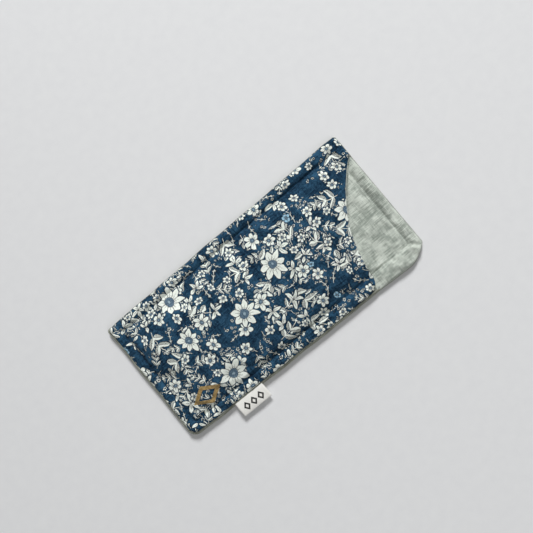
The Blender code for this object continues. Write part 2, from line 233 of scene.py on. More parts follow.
FLAP_GROOVE, FLAP_BORDER, FLAP_MIDDLE = 1.75, 4.05, 3.3
BACK_GROOVE, BACK_BORDER, BACK_MIDDLE = 1.85, 2.1, 2.7


def back_drawn(x, y):
    """Top of the back lining as drawn, under the front and out on the flap."""
    depth = inside_stitch(x, y)
    bare = flapness(x, y)
    groove = lerp(BACK_GROOVE, FLAP_GROOVE, bare)
    puff = math.exp(-abs(depth) / lerp(1.3, 1.8, bare))
    if depth < 0:
        level = lerp(BACK_BORDER, FLAP_BORDER, bare)
    else:
        level = lerp(BACK_MIDDLE, FLAP_MIDDLE, bare)
    swell = 0.42 * wave(x, y, 13.0, 5.2) * bare * smooth(abs(depth), 0.5, 6.0)
    return lerp(level, groove, puff) + swell + 0.8 * pucker(x, y) * bare * smooth(abs(depth), 0.2, 1.4)


def back_under(x, y):
    """Underside of the pouch: on the table, lifted a little along the stitches."""
    return 0.38 * math.exp(-(inside_stitch(x, y) / 1.1) ** 2)


print("front middle", round(front_drawn(0, 0), 2), "flap middle", round(back_drawn(75, -20), 2))

# %% [markdown]
# ## Letting the cloth settle
# Sewn cloth has a little more length than the stitches leave room for, and the spare length shows as
# soft wrinkles that run away from the seams.  Nobody draws those well by hand, so a coarse trial
# sheet is held where it is sewn, given some slack and a slight push from the fleece below, and
# simulated as cloth.  What it gained in height is kept and added to the drawn heights.

# %% Trial sheet
SETTLE_STEP = 1.6        # spacing of the trial sheet
SETTLE_FRAMES = 20
GROWTH = 5.0             # it is simulated this much larger, where Blender's cloth is steadier


class Settled:
    """The heights that a simulated trial sheet gained, looked up by place."""

    def __init__(self, name, low, high, height, held, slack, push, most):
        self.low, self.high = low, high
        self.columns = round((high[0] - low[0]) / SETTLE_STEP)
        self.rows = round((high[1] - low[1]) / SETTLE_STEP)
        self.gained = {}
        sheet = self.make_sheet(name, height, held)
        before = [vertex.co.z for vertex in sheet.data.vertices]
        self.simulate(sheet, slack, push)
        shape = sheet.evaluated_get(bpy.context.evaluated_depsgraph_get()).to_mesh()
        places = sheet.data.attributes["place"].data
        for vertex, start, place in zip(shape.vertices, before, places):
            gain = (vertex.co.z - start) / MM / GROWTH
            self.gained[place.value] = clamp(gain, -most, most)
        bpy.data.objects.remove(sheet)
        values = self.gained.values()
        print(name, len(values), "points, gained", round(min(values), 2), "to", round(max(values), 2), "mm")

    def make_sheet(self, name, height, held):
        work = bmesh.new()
        bmesh.ops.create_grid(work, x_segments=self.columns, y_segments=self.rows, size=0.5)
        place = work.verts.layers.int.new("place")
        spare, pins = [], {}
        for vertex in work.verts:
            column = round((vertex.co.x + 0.5) * self.columns)
            row = round((vertex.co.y + 0.5) * self.rows)
            x = lerp(self.low[0], self.high[0], column / self.columns)
            y = lerp(self.low[1], self.high[1], row / self.rows)
            vertex[place] = row * (self.columns + 1) + column
            pins[vertex[place]] = held(x, y)
            if pins[vertex[place]] is None:
                spare.append(vertex)
            vertex.co = Vector((x, y, height(x, y))) * MM * GROWTH
        bmesh.ops.delete(work, geom=spare, context="VERTS")
        mesh = bpy.data.meshes.new(name)
        work.to_mesh(mesh)
        work.free()
        sheet = bpy.data.objects.new(name, mesh)
        bpy.context.scene.collection.objects.link(sheet)
        group = sheet.vertex_groups.new(name="sewn")
        for vertex, spot in zip(mesh.vertices, mesh.attributes["place"].data):
            group.add([vertex.index], pins[spot.value], "REPLACE")
        return sheet

    def simulate(self, sheet, slack, push):
        cloth = sheet.modifiers.new("settle", "CLOTH")
        feel = cloth.settings
        feel.quality = 8
        feel.mass = 0.2
        feel.tension_stiffness = feel.compression_stiffness = 40
        feel.shear_stiffness = 8
        feel.bending_stiffness = 0.12
        feel.vertex_group_mass = "sewn"
        feel.shrink_min = feel.shrink_max = -slack
        feel.use_pressure = True
        feel.uniform_pressure_force = push
        feel.effector_weights.gravity = 0.0
        cloth.collision_settings.use_collision = False
        cloth.point_cache.frame_start, cloth.point_cache.frame_end = 1, SETTLE_FRAMES
        for frame in range(1, SETTLE_FRAMES + 1):
            bpy.context.scene.frame_set(frame)

    def at(self, x, y):
        """The gained height at a place, from the four trial points round it."""
        across = clamp((x - self.low[0]) / (self.high[0] - self.low[0])) * self.columns
        up = clamp((y - self.low[1]) / (self.high[1] - self.low[1])) * self.rows
        column, row = min(int(across), self.columns - 1), min(int(up), self.rows - 1)
        corners = [self.gained.get((row + j) * (self.columns + 1) + column + i, 0.0)
                   for j in (0, 1) for i in (0, 1)]
        low = lerp(corners[0], corners[1], across - column)
        high = lerp(corners[2], corners[3], across - column)
        return lerp(low, high, up - row)


# %% Settle the front and the flap
def sewn(x, y):
    """1 on the stitch line and along the edge seam, 0 where the cloth is free."""
    side = min(x - CLOSED_X, OPEN_X - x, half_width(x) - y, half_width(x) + y)
    if side < -1.0:
        return None
    line = 1 - smooth(abs(inside_stitch(x, y)), 0.5, 1.9)
    return max(line, 1 - smooth(side, 1.8, 3.2))


def front_held(x, y):
    return None if x > mouth_x(y) + 0.8 else sewn(x, y)


def flap_held(x, y):
    return None if x < mouth_x(y) - 12.0 else max(sewn(x, y), 1 - smooth(x - mouth_x(y), -8.0, -2.0))


box_low, box_high = (CLOSED_X, -MOUTH_HALF), (OPEN_X, MOUTH_HALF)
front_settled = Settled("front_trial", box_low, box_high, front_drawn, front_held, 0.05, 0.7, 1.1)
flap_settled = Settled("flap_trial", (40.0, -MOUTH_HALF), box_high, back_drawn, flap_held, 0.05, 0.4, 0.9)
bpy.context.scene.frame_set(1)


def front_top(x, y):
    """Top of the printed cloth, away from its edges."""
    return front_drawn(x, y) + front_settled.at(x, y)


def front_under(x, y):
    """Underside of the front lining: level with the drawn shape beside the stitches."""
    depth = inside_stitch(x, y)
    pad = lerp(1.7, FRONT_PAD, smooth(abs(depth), 0.0, 3.0)) + 0.2 * smooth(-depth, 0.0, 2.0)
    return front_drawn(x, y) - pad + front_settled.at(x, y) * smooth(depth, 4.0, 12.0)


def back_top(x, y):
    """Top of the back lining, under the front and out on the flap."""
    return back_drawn(x, y) + flap_settled.at(x, y) * flapness(x, y)


# %% [markdown]
# ## The edge seam
# The backing is turned a little further out than the print, so a grey roll shows past the print
# at the closed end, and less along the sides.  Out on the flap there is only the thin back panel
# to sew, so its seam lies lower.

# %% Seam place round the edge
SEAM_SIDES = (            # how far in the seam lies, and how high
    (lambda x, y: x - CLOSED_X, 1.7, 4.3),
    (lambda x, y: half_width(x) + y, 2.0, 4.0),
    (lambda x, y: half_width(x) - y, 0.3, 3.4),
    (lambda x, y: OPEN_X - x, 0.3, 3.2),
)
FLAP_SEAM = (0.3, 1.9)


def seam_at(x, y):
    """(how far in, how high) the edge seam lies near x, y."""
    shares = [math.exp(-max(distance(x, y), 0.0) / 2.5) for distance, _, _ in SEAM_SIDES]
    total = sum(shares)
    inset = sum(share * side[1] for share, side in zip(shares, SEAM_SIDES)) / total
    height = sum(share * side[2] for share, side in zip(shares, SEAM_SIDES)) / total
    bare = flapness(x, y)
    return lerp(inset, FLAP_SEAM[0], bare), lerp(height, FLAP_SEAM[1], bare)


# %% [markdown]
# ## Making a sheet of cloth
# A sheet starts as a flat grid.  Its outer rows are rings that follow the edge, close together
# where the cloth rolls over, and they go round the corners on arcs.  The rows between them are
# spread evenly.  The UV map holds each point's place on the flat cloth, in millimetres, so a
# print keeps its size where the cloth rolls over.

# %% Rings and corners
REACH = 12.0             # the rings cover this much of the edge


def ring_path(inset, radius, along):
    """A point on a ring in a corner: its distances from the two edges, along 0 to 1."""
    turn = max(radius * (1 - inset / REACH), 0.15)
    straight = max(REACH - inset - turn, 0.0)
    arc = turn * math.pi / 2
    walked = along * (2 * straight + arc)
    if walked < straight:
        return inset, REACH - walked
    if walked > straight + arc:
        return inset + turn + walked - straight - arc, inset
    angle = (walked - straight) / turn
    return inset + turn * (1 - math.cos(angle)), inset + turn * (1 - math.sin(angle))


class Outline:
    """The four edges of a sheet, and its corner radii: near-low, near-high, far-low, far-high."""

    def __init__(self, near, far, low, high, radii):
        self.near, self.far, self.low, self.high = near, far, low, high
        self.radii = radii

    def spot(self, column, row):
        """x, y from an edge-and-distance pair, or from a share of the middle, for each way."""
        x, y = 0.0, 0.0
        for _ in range(8):
            x_ends = self.near(y), self.far(y)
            x = self.between(x_ends, column)
            y_ends = self.low(x), self.high(x)
            y = self.between(y_ends, row)
        return x, y

    @staticmethod
    def between(ends, stop):
        side, value = stop
        if side < 0:
            return ends[0] + value
        if side > 0:
            return ends[1] - value
        return lerp(ends[0] + REACH, ends[1] - REACH, value)


def stops(rings, middle):
    """Stops across a sheet: (side, ring number) in the edge rings, (0, share) between them."""
    count = len(rings)
    edge = [(-1, count - 1 - i) for i in range(count - 1)]
    inner = [(0, i / middle) for i in range(middle + 1)]
    return edge + inner + [(1, i + 1) for i in range(count - 1)]


def place_on(outline, column, row, insets):
    """x, y of a grid point, with insets the distance of each ring from the edge."""
    if column[0] and row[0]:
        ring = max(column[1], row[1])
        part = row[1] / ring / 2 if column[1] == ring else 1 - column[1] / ring / 2
        corner = (column[0] > 0) * 2 + (row[0] > 0)
        across, up = ring_path(insets[ring], outline.radii[corner], part)
        return outline.spot((column[0], across), (row[0], up))
    column_stop = (column[0], insets[column[1]]) if column[0] else column
    row_stop = (row[0], insets[row[1]]) if row[0] else row
    return outline.spot(column_stop, row_stop)


# %% Sheet of cloth
def flat_insets(rings):
    """Ring distances on the flat cloth, from their distances and heights when sewn."""
    flat = [rings[0][0]]
    for (inset, height), (next_inset, next_height) in zip(rings, rings[1:]):
        flat.append(flat[-1] - math.hypot(next_inset - inset, next_height - height))
    return flat


def sheet_mesh(name, outline, rings, middle, shape):
    """A grid sheet; shape(x, y, ring) gives the final x, y, z, with ring 0 in the middle."""
    columns, rows = stops(rings, middle[0]), stops(rings, middle[1])
    insets = [inset for inset, _ in rings]
    flat = flat_insets(rings)
    work = bmesh.new()
    bmesh.ops.create_grid(work, x_segments=len(columns) - 1, y_segments=len(rows) - 1, size=0.5)
    cloth = {}
    for vertex in work.verts:
        column = columns[round((vertex.co.x + 0.5) * (len(columns) - 1))]
        row = rows[round((vertex.co.y + 0.5) * (len(rows) - 1))]
        ring = max(column[1] if column[0] else 0, row[1] if row[0] else 0)
        x, y = place_on(outline, column, row, insets)
        cloth[vertex.index] = place_on(outline, column, row, flat)
        vertex.co = Vector(shape(x, y, ring)) * MM
    return finished_mesh(work, name, cloth)


def finished_mesh(work, name, cloth=None, soft=True):
    """A mesh from a bmesh; cloth gives each vertex its place on the flat cloth."""
    if cloth:
        uv = work.loops.layers.uv.new("cloth")
        for face in work.faces:
            for loop in face.loops:
                loop[uv].uv = cloth[loop.vert.index]
    mesh = bpy.data.meshes.new(name)
    work.to_mesh(mesh)
    work.free()
    if soft:
        mesh.shade_smooth()
    return mesh


def add_piece(name, mesh, finish):
    piece = bpy.data.objects.new(name, mesh)
    bpy.context.scene.collection.objects.link(piece)
    mesh.materials.append(finish)
    print(name, len(mesh.vertices), "points", len(mesh.polygons), "faces")
    return piece


def add_thickness(piece, thickness, side=-1.0):
    wall = piece.modifiers.new("cloth_thickness", "SOLIDIFY")
    wall.thickness = thickness * MM
    wall.offset = side


# %% [markdown]
# ## Formulas as nodes
# A printed pattern is a formula of the place on the cloth.  In the shader each sum is a Math
# node, which is slow to write out by hand.  A Wire wraps a socket, so that adding or comparing
# two of them makes the node and links it.

# %% Wires
class Wire:
    """A socket that can be added, multiplied and compared."""

    def __init__(self, tree, socket):
        self.tree = tree
        self.socket = socket

    def node(self, operation, *values, clamped=False):
        made = self.tree.nodes.new("ShaderNodeMath")
        made.operation = operation
        made.use_clamp = clamped
        for slot, value in zip(made.inputs, values):
            feed(self.tree, slot, value)
        return Wire(self.tree, made.outputs[0])

    def __add__(self, other):
        return self.node("ADD", self, other)

    def __sub__(self, other):
        return self.node("SUBTRACT", self, other)

    def __rsub__(self, other):
        return self.node("SUBTRACT", other, self)

    def __mul__(self, other):
        return self.node("MULTIPLY", self, other)

    __rmul__ = __mul__

    def __truediv__(self, other):
        return self.node("DIVIDE", self, other)

    def __rtruediv__(self, other):
        return self.node("DIVIDE", other, self)

    def __neg__(self):
        return self.node("MULTIPLY", self, -1.0)

    def __pow__(self, other):
        return self.node("POWER", self, other)

    def __lt__(self, other):
        return self.node("LESS_THAN", self, other)

    def __gt__(self, other):
        return self.node("GREATER_THAN", self, other)

    def do(self, operation, *others):
        return self.node(operation, self, *others)

    def either(self, other):
        return self.node("MAXIMUM", self, other)

    def ramp(self, low, high):
        """Runs gently from 0 at low to 1 at high."""
        made = self.tree.nodes.new("ShaderNodeMapRange")
        made.interpolation_type = "SMOOTHSTEP"
        feed(self.tree, made.inputs["Value"], self)
        feed(self.tree, made.inputs["From Min"], low)
        feed(self.tree, made.inputs["From Max"], high)
        return Wire(self.tree, made.outputs["Result"])


def feed(tree, slot, value):
    """Links a Wire to a socket, or sets a plain value on it."""
    if isinstance(value, Wire):
        tree.links.new(value.socket, slot)
    else:
        slot.default_value = value


def add_node(tree, kind, outputs, settings=None, **inputs):
    """Makes a node, feeds its inputs by name and returns the named outputs as Wires."""
    made = tree.nodes.new(kind)
    for key, value in (settings or {}).items():
        setattr(made, key, value)
    for label, value in inputs.items():
        feed(tree, made.inputs[label.replace("_", " ")], value)
    found = [Wire(tree, made.outputs[label]) for label in outputs]
    return found[0] if len(found) == 1 else found


def mix_colour(tree, under, over, share, blend="MIX"):
    made = tree.nodes.new("ShaderNodeMix")
    made.data_type = "RGBA"
    made.blend_type = blend
    colours = [slot for slot in made.inputs if slot.type == "RGBA"]
    feed(tree, made.inputs[0], share)
    feed(tree, colours[0], under)
    feed(tree, colours[1], over)
    return Wire(tree, [slot for slot in made.outputs if slot.type == "RGBA"][0])


def vector_node(tree, operation, *values):
    """A Vector Math node with its values fed in order."""
    made = tree.nodes.new("ShaderNodeVectorMath")
    made.operation = operation
    for slot, value in zip(made.inputs, values):
        feed(tree, slot, value)
    return Wire(tree, made.outputs[0])


def noise_node(tree, place, scale, detail, roughness=0.5, output="Fac", dimensions="2D"):
    return add_node(tree, "ShaderNodeTexNoise", [output], {"noise_dimensions": dimensions},
                    Vector=place, Scale=scale, Detail=detail, Roughness=roughness)


# %% [markdown]
# ## Groups
# A pattern that is used more than once is built once, as a node group.  Its named inputs are set
# wherever it is used.

# %% Groups
NUMBER, VECTOR = "NodeSocketFloat", "NodeSocketVector"


def new_group(name, inputs):
    """An empty shader group: its tree and its inputs as Wires."""
    tree = bpy.data.node_groups.new(name, "ShaderNodeTree")
    for label, kind, value in inputs:
        socket = tree.interface.new_socket(label, in_out="INPUT", socket_type=kind)
        if kind == NUMBER:
            socket.default_value = value
    source = tree.nodes.new("NodeGroupInput")
    return tree, {label: Wire(tree, source.outputs[label]) for label, _, _ in inputs}


def close_group(tree, outputs):
    """Gives a group its outputs."""
    for label, kind, _ in outputs:
        tree.interface.new_socket(label, in_out="OUTPUT", socket_type=kind)
    sink = tree.nodes.new("NodeGroupOutput")
    for label, _, wire in outputs:
        feed(tree, sink.inputs[label], wire)
    return tree


def use_group(tree, group, outputs, **inputs):
    return add_node(tree, "ShaderNodeGroup", outputs, {"node_tree": group}, **inputs)


# %% [markdown]
# ## Drawing petals and leaves
# A petal and a leaf are the same shape: a width that swells from the base and closes at the tip.
# How fast it swells and closes makes it round, egg-shaped or lens-shaped.  The formula gives the
# distance to the outline, so one number draws the fill, the dark rim and the clear ground round it.

# %% Petal outline
RIM = 0.30               # dark line round a printed shape
CLEAR = 0.7              # ground kept clear round it


def petal_edge(along, across, length, half, base, tip):
    """Distance inside a petal's outline, in millimetres; negative outside."""
    share = (along / length).node("MINIMUM", (along / length).either(0.0), 1.0)
    width = half * (share ** base) * ((1 - share) ** tip)
    edge = width - across.do("ABSOLUTE")
    return edge.do("MINIMUM", length - along).do("MINIMUM", along)


def shape_outputs(edge, lines, extra=()):
    """What each printed shape tells its material: fill, line and cleared ground."""
    inside = edge > 0.0
    rim = (edge > -RIM) * (1 - inside)
    return [("White", NUMBER, inside * (1 - lines)), ("Line", NUMBER, (inside * lines).either(rim)),
            ("Halo", NUMBER, edge > -CLEAR), *extra]


# %% [markdown]
# ## Blooms
# A bloom folds the angle round its middle into one petal, so that one petal formula draws them
# all.  Each petal has its own chance length.  The middle is a dark disc with fine light dots.

# %% Bloom group
def bloom_group():
    tree, given = new_group("printed_bloom", [
        ("X", NUMBER, 0.0), ("Y", NUMBER, 0.0), ("Radius", NUMBER, 4.0), ("Petals", NUMBER, 6.0),
        ("Turn", NUMBER, 0.0), ("Seed", NUMBER, 0.0), ("Wide", NUMBER, 0.8), ("Base", NUMBER, 0.7),
        ("Tip", NUMBER, 0.5), ("Sparse", NUMBER, 0.0), ("Heart", NUMBER, 0.27),
    ])
    x, y, radius, petals = (given[label] for label in ("X", "Y", "Radius", "Petals"))
    far = (x * x + y * y).do("SQRT")
    sector = (y.do("ARCTAN2", x) + given["Turn"] + math.tau) * petals / math.tau
    number = sector.do("FLOOR").do("MODULO", petals)
    chance = add_node(tree, "ShaderNodeTexWhiteNoise", ["Value"], {"noise_dimensions": "1D"},
                      W=number + given["Seed"] * 7.31)
    angle = (sector.do("FRACT") - 0.5) * math.tau / petals
    along, across = far * angle.do("COSINE"), far * angle.do("SINE")
    reach = radius * (chance * 0.26 + 0.8) * (chance > given["Sparse"])
    edge = petal_edge(along, across, reach + 0.01, radius * given["Wide"], given["Base"], given["Tip"])
    edge = edge.do("MINIMUM", (math.pi / petals - angle.do("ABSOLUTE")) * far - 0.13)
    vein = (across.do("ABSOLUTE") < 0.07) * (along < reach * 0.62)
    streak = ((across.do("ABSOLUTE") * 2.3 + 0.55).do("FRACT") < 0.16) * (along < reach * 0.46)
    disc = radius * given["Heart"]
    heart = (far < disc) * (given["Heart"] > 0.01)
    dots = (((x * 9.0).do("SINE") * (y * 9.0).do("SINE")) > 0.28) * heart
    lit = dots.either((far < disc * 0.28) * heart)
    ring = ((far - disc).do("ABSOLUTE") < 0.14) * (given["Heart"] > 0.01)
    lines = vein.either(streak).either(ring) * (1 - heart)
    return close_group(tree, shape_outputs(edge, lines.either(heart), (
        ("Heart", NUMBER, heart), ("Dots", NUMBER, lit))))


def reciprocal_peak(base, tip):
    """Scale that makes share ** base * (1 - share) ** tip reach 1 at its widest."""
    widest = base / (base + tip)
    return 1 / (widest ** base * (1 - widest) ** tip)


# %% [markdown]
# ## Sprigs
# A sprig is a bent stem with leaves in pairs.  The place along the stem is folded into one
# spacing and the two sides are folded together, so one leaf formula draws them all.  Each leaf
# has a rib, and one half is hatched, as an engraver shades it.

# %% Sprig group
def sprig_group():
    tree, given = new_group("printed_sprig", [
        ("X", NUMBER, 0.0), ("Y", NUMBER, 0.0), ("Turn", NUMBER, 0.0), ("Length", NUMBER, 5.0),
        ("Spacing", NUMBER, 2.6), ("Leaf", NUMBER, 3.6), ("Wide", NUMBER, 0.8), ("Bend", NUMBER, 0.06),
    ])
    cosine, sine = given["Turn"].do("COSINE"), given["Turn"].do("SINE")
    x = given["X"] * cosine - given["Y"] * sine
    y = given["X"] * sine + given["Y"] * cosine - given["Bend"] * x * x
    share = x / given["Length"]
    reach = given["Leaf"] * (1 - (share.do("ABSOLUTE") ** 2.0) * 0.55)
    step = (x / given["Spacing"]).do("FRACT") * given["Spacing"]
    up = y.do("ABSOLUTE")
    lean = math.radians(48)
    along = step * math.cos(lean) + up * math.sin(lean)
    across = up * math.cos(lean) - step * math.sin(lean)
    leaf = petal_edge(along, across, reach, given["Wide"] * reciprocal_peak(0.8, 0.9), 0.8, 0.9)
    held = (share.do("ABSOLUTE") < 0.86)
    leaf = leaf * held - (1 - held) * 9.0
    stem = 0.15 - up
    stem = stem.do("MINIMUM", given["Length"] - x.do("ABSOLUTE"))
    edge = leaf.either(stem)
    rib = (across.do("ABSOLUTE") < 0.1) * (along < reach * 0.85)
    hatch = ((along * 1.45 - across.do("ABSOLUTE") * 1.1).do("FRACT") < 0.48) * (across > 0.06)
    return close_group(tree, shape_outputs(edge, rib.either(hatch) * (up > 0.2)))


BLOOM = bloom_group()
SPRIG = sprig_group()
print("bloom group:", len(BLOOM.nodes), "nodes, sprig group:", len(SPRIG.nodes))


# %% [markdown]
# ## Scattering blooms
# A Voronoi texture drops one random point in each cell of a grid, and tells every place on the
# cloth where the nearest point is.  That is all a bloom needs to be drawn round it.

# %% Scatter group
def scatter_group():
    tree, given = new_group("scatter", [
        ("Vector", VECTOR, None), ("Cell", NUMBER, 8.0), ("Shift", NUMBER, 0.0), ("Loose", NUMBER, 0.55),
    ])
    shift = add_node(tree, "ShaderNodeCombineXYZ", ["Vector"], X=given["Shift"], Y=given["Shift"] * 0.618)
    place = vector_node(tree, "ADD", given["Vector"], shift)
    position, colour = add_node(
        tree, "ShaderNodeTexVoronoi", ["Position", "Color"], {"voronoi_dimensions": "2D"},
        Vector=place, Scale=given["Cell"].do("POWER", -1.0), Randomness=given["Loose"])
    away = vector_node(tree, "SUBTRACT", place, position)
    x, y = add_node(tree, "ShaderNodeSeparateXYZ", ["X", "Y"], Vector=away)
    red, green, blue = add_node(tree, "ShaderNodeSeparateColor", ["Red", "Green", "Blue"], Color=colour)
    return close_group(tree, [
        ("X", NUMBER, x), ("Y", NUMBER, y), ("Size", NUMBER, red), ("Turn", NUMBER, green),
        ("Chance", NUMBER, blue),
    ])


SCATTER = scatter_group()


# %% [markdown]
# ## Weave
# Close up, all the cloths are threads going over and under.  Two sine waves at right angles give
# the over and under, and long thin noise gives linen its thick and thin threads.

# %% Weave and slub groups
def weave_group():
    tree, given = new_group("weave", [("Vector", VECTOR, None), ("Pitch", NUMBER, 0.45)])
    u, v = add_node(tree, "ShaderNodeSeparateXYZ", ["X", "Y"], Vector=given["Vector"])
    across = (u * (math.tau / 2) / given["Pitch"]).do("SINE")
    along = (v * (math.tau / 2) / given["Pitch"]).do("SINE")
    return close_group(tree, [("Height", NUMBER, (across * along) * 0.5 + 0.5)])


def slub_group():
    tree, given = new_group("slub", [("Vector", VECTOR, None), ("Size", NUMBER, 1.0)])
    u, v = add_node(tree, "ShaderNodeSeparateXYZ", ["X", "Y"], Vector=given["Vector"])
    threads = []
    for first, second, seed in ((0.09, 1.9, 0.0), (1.9, 0.09, 40.0)):
        place = add_node(tree, "ShaderNodeCombineXYZ", ["Vector"], X=u * first + seed, Y=v * second)
        threads.append(noise_node(tree, place, given["Size"], 3.0, 0.6))
    # Large soft clouds of tone; on the linens, made strong, they are partly painted shade of soft wrinkles.
    cloud = noise_node(tree, given["Vector"], 0.1, 5.0, 0.6)
    mixed = threads[0] * 0.4 + threads[1] * 0.24 + cloud * 0.36
    return close_group(tree, [("Shade", NUMBER, mixed)])


WEAVE = weave_group()
SLUB = slub_group()


# %% [markdown]
# ## Starting a finish
# A finish starts as one shader with its roughness and its sheen.  A pattern on cloth is drawn by its
# place on the flat sheet, which the UV map holds, and a bump gives the threads some depth.

# %% Material helpers
def srgb(red, green, blue):
    """A colour given as it looks on a screen, 0 to 255, made linear."""
    return tuple(((c / 255 + 0.055) / 1.055) ** 2.4 for c in (red, green, blue)) + (1.0,)


def new_material(name, roughness, sheen=0.0, sheen_roughness=0.5):
    made = bpy.data.materials.new(name)
    made.use_nodes = True
    shader = made.node_tree.nodes["Principled BSDF"]
    shader.inputs["Roughness"].default_value = roughness
    shader.inputs["Sheen Weight"].default_value = sheen
    shader.inputs["Sheen Roughness"].default_value = sheen_roughness
    return made, made.node_tree, shader


def cloth_place(tree):
    return add_node(tree, "ShaderNodeUVMap", ["UV"], {"uv_map": "cloth"})


def add_bump(tree, shader, height, distance, strength=1.0):
    normal = add_node(tree, "ShaderNodeBump", ["Normal"], Height=height, Distance=distance * MM,
                      Strength=strength)
    feed(tree, shader.inputs["Normal"], normal)


# %% [markdown]
# ## The printed cotton
# The print is drawn from the bottom up: a mottled blue ground, fine twigs, tiny buds, leafy sprigs,
# small flowers, middling flowers, and last the big blooms.  All of it falls by chance, so it is an
# everyday small floral and nobody's design.  Each layer clears a thin rim of ground round itself,
# so that the shapes stay apart as they do on a real block print.

# %% Print colours
GROUND_DARK = srgb(9, 32, 52)
GROUND = srgb(52, 92, 121)
NAVY = srgb(3, 14, 29)
CREAM = srgb(244, 250, 242)
PALE_BLUE = srgb(160, 200, 222)
HEART_BLUE = srgb(38, 70, 98)
DOT_BLUE = srgb(156, 178, 190)


# %% Print layers
def paint(tree, colour, ground, shape, present, fill=CREAM):
    """Paints one printed shape over the colour so far; shape is fill, line and cleared ground."""
    white, line, halo = shape
    colour = mix_colour(tree, colour, ground, halo * present)
    colour = mix_colour(tree, colour, fill, white * present)
    return mix_colour(tree, colour, NAVY, line * present)


def scattered(tree, place, cell, shift):
    return use_group(tree, SCATTER, ["X", "Y", "Size", "Turn", "Chance"], Vector=place, Cell=cell,
                     Shift=shift)


def paint_blooms(tree, colour, ground, place, cell, shown, size, petals, wide, tip, heart, shift,
                 sparse=0.0, base=0.7, fill=CREAM, where=1.0):
    """One layer of blooms, each turned and sized by chance."""
    x, y, large, turn, chance = scattered(tree, place, cell, shift)
    wide_peak = wide * reciprocal_peak(base, tip)
    white, line, halo, disc, dots = use_group(
        tree, BLOOM, ["White", "Line", "Halo", "Heart", "Dots"], X=x, Y=y, Petals=petals,
        Radius=(large * 0.42 + 0.7) * (cell * size), Turn=turn * math.tau, Seed=large * 50,
        Wide=wide_peak, Base=base, Tip=tip, Sparse=sparse, Heart=heart)
    present = (chance < shown) * where
    colour = paint(tree, colour, ground, (white, line, halo), present, fill)
    colour = mix_colour(tree, colour, HEART_BLUE, disc * present)
    return mix_colour(tree, colour, DOT_BLUE, dots * present)


def paint_sprigs(tree, colour, ground, place, cell, shown, length, spacing, leaf, wide, shift):
    """One layer of leafy sprigs."""
    x, y, large, turn, chance = scattered(tree, place, cell, shift)
    shape = use_group(
        tree, SPRIG, ["White", "Line", "Halo"], X=x, Y=y, Turn=turn * math.tau,
        Length=(large * 0.3 + 0.8) * length, Spacing=spacing, Leaf=leaf, Wide=wide,
        Bend=(large - 0.5) * 0.14)
    return paint(tree, colour, ground, shape, chance < shown)


def drifting_place(tree, flat):
    """The place on the cloth, drifting a little, so that shapes look drawn by hand."""
    place = flat
    for scale, far in ((0.13, 2.6), (0.7, 0.5)):
        drift = noise_node(tree, flat, scale, 1.0, output="Color")
        place = vector_node(tree, "MULTIPLY_ADD", drift, (far, far, 0.0), place)
    return place


def printed_cotton():
    made, tree, shader = new_material("printed_cotton", 0.95, 0.03)
    shader.inputs["Specular IOR Level"].default_value = 0.12
    flat = cloth_place(tree)
    place = drifting_place(tree, flat)
    mottle = noise_node(tree, flat, 0.9, 5.0, 0.72)
    slub = use_group(tree, SLUB, ["Shade"], Vector=flat, Size=1.6)
    ground = mix_colour(tree, GROUND_DARK, GROUND, (mottle * 0.3 + slub * 0.7).ramp(0.4, 0.6))
    patch = noise_node(tree, flat, 0.1, 0.0)
    colour = paint_sprigs(tree, ground, ground, place, 11.0, 0.9, 5.6, 2.8, 1.7, 0.34, 19.0)
    colour = paint_blooms(tree, colour, ground, place, 2.9, 0.7, 0.36, 5.0, 0.34, 0.5, 0.0, 11.0,
                          where=patch > 0.56)
    colour = paint_sprigs(tree, colour, ground, place, 12.0, 0.56, 5.4, 3.3, 4.2, 0.85, 31.0)
    colour = paint_sprigs(tree, colour, ground, place, 16.5, 0.6, 8.0, 5.6, 7.2, 1.5, 57.0)
    colour = paint_blooms(tree, colour, ground, place, 12.5, 0.5, 0.46, 5.0, 0.19, 0.8, 0.0, 44.0,
                          sparse=0.35, base=0.8)
    colour = paint_blooms(tree, colour, ground, place, 31.0, 0.6, 0.07, 5.0, 0.40, 0.4, 0.25, 71.0,
                          fill=PALE_BLUE)
    colour = paint_blooms(tree, colour, ground, place, 10.0, 0.42, 0.33, 6.0, 0.27, 0.5, 0.24, 83.0)
    colour = paint_blooms(tree, colour, ground, place, 17.0, 0.42, 0.28, 6.0, 0.27, 0.42, 0.25, 97.0)
    colour = paint_blooms(tree, colour, ground, place, 30.0, 0.42, 0.28, 8.0, 0.225, 0.72, 0.30, 149.0)
    height = use_group(tree, WEAVE, ["Height"], Vector=flat, Pitch=0.38)
    # The weave's height is painted into the print's colour as shade, darker where the threads dip; the slub
    # part is the threads' own tone.
    shade = slub * 0.9 + height * 0.25 + 0.4
    grey = add_node(tree, "ShaderNodeCombineColor", ["Color"], Red=shade, Green=shade, Blue=shade)
    feed(tree, shader.inputs["Base Color"], mix_colour(tree, colour, grey, 1.0, "MULTIPLY"))
    add_bump(tree, shader, height * 0.6 + slub * 0.8, 0.12, 0.7)
    print("print:", len(tree.nodes), "nodes")
    return made


# %% [markdown]
# ## The plain linens, the fleece and the threads
# Linen is never one colour: single threads are lighter, darker, thicker or thinner.  The lining is
# a pale grey green and the backing a darker grey, and both use the slub group with their own colours.
# The slub group's large soft clouds, made strong here, are partly that tone and partly painted shade
# standing in for soft wrinkles, and the weave's height is painted in as shade between the threads.

# %% Linen, fleece, thread
def linen(name, dark, light, pitch, size):
    made, tree, shader = new_material(name, 0.92, 0.22)
    flat = cloth_place(tree)
    shade = use_group(tree, SLUB, ["Shade"], Vector=flat, Size=size)
    height = use_group(tree, WEAVE, ["Height"], Vector=flat, Pitch=pitch)
    # Painted shade: the strong clouds stand partly for soft wrinkles, and the weave height darkens the dips
    # between threads.
    mixed = shade.ramp(0.42, 0.58) * 0.8 + height * 0.2
    feed(tree, shader.inputs["Base Color"], mix_colour(tree, dark, light, mixed))
    add_bump(tree, shader, height * 0.6 + shade * 1.2, 0.16, 0.8)
    return made


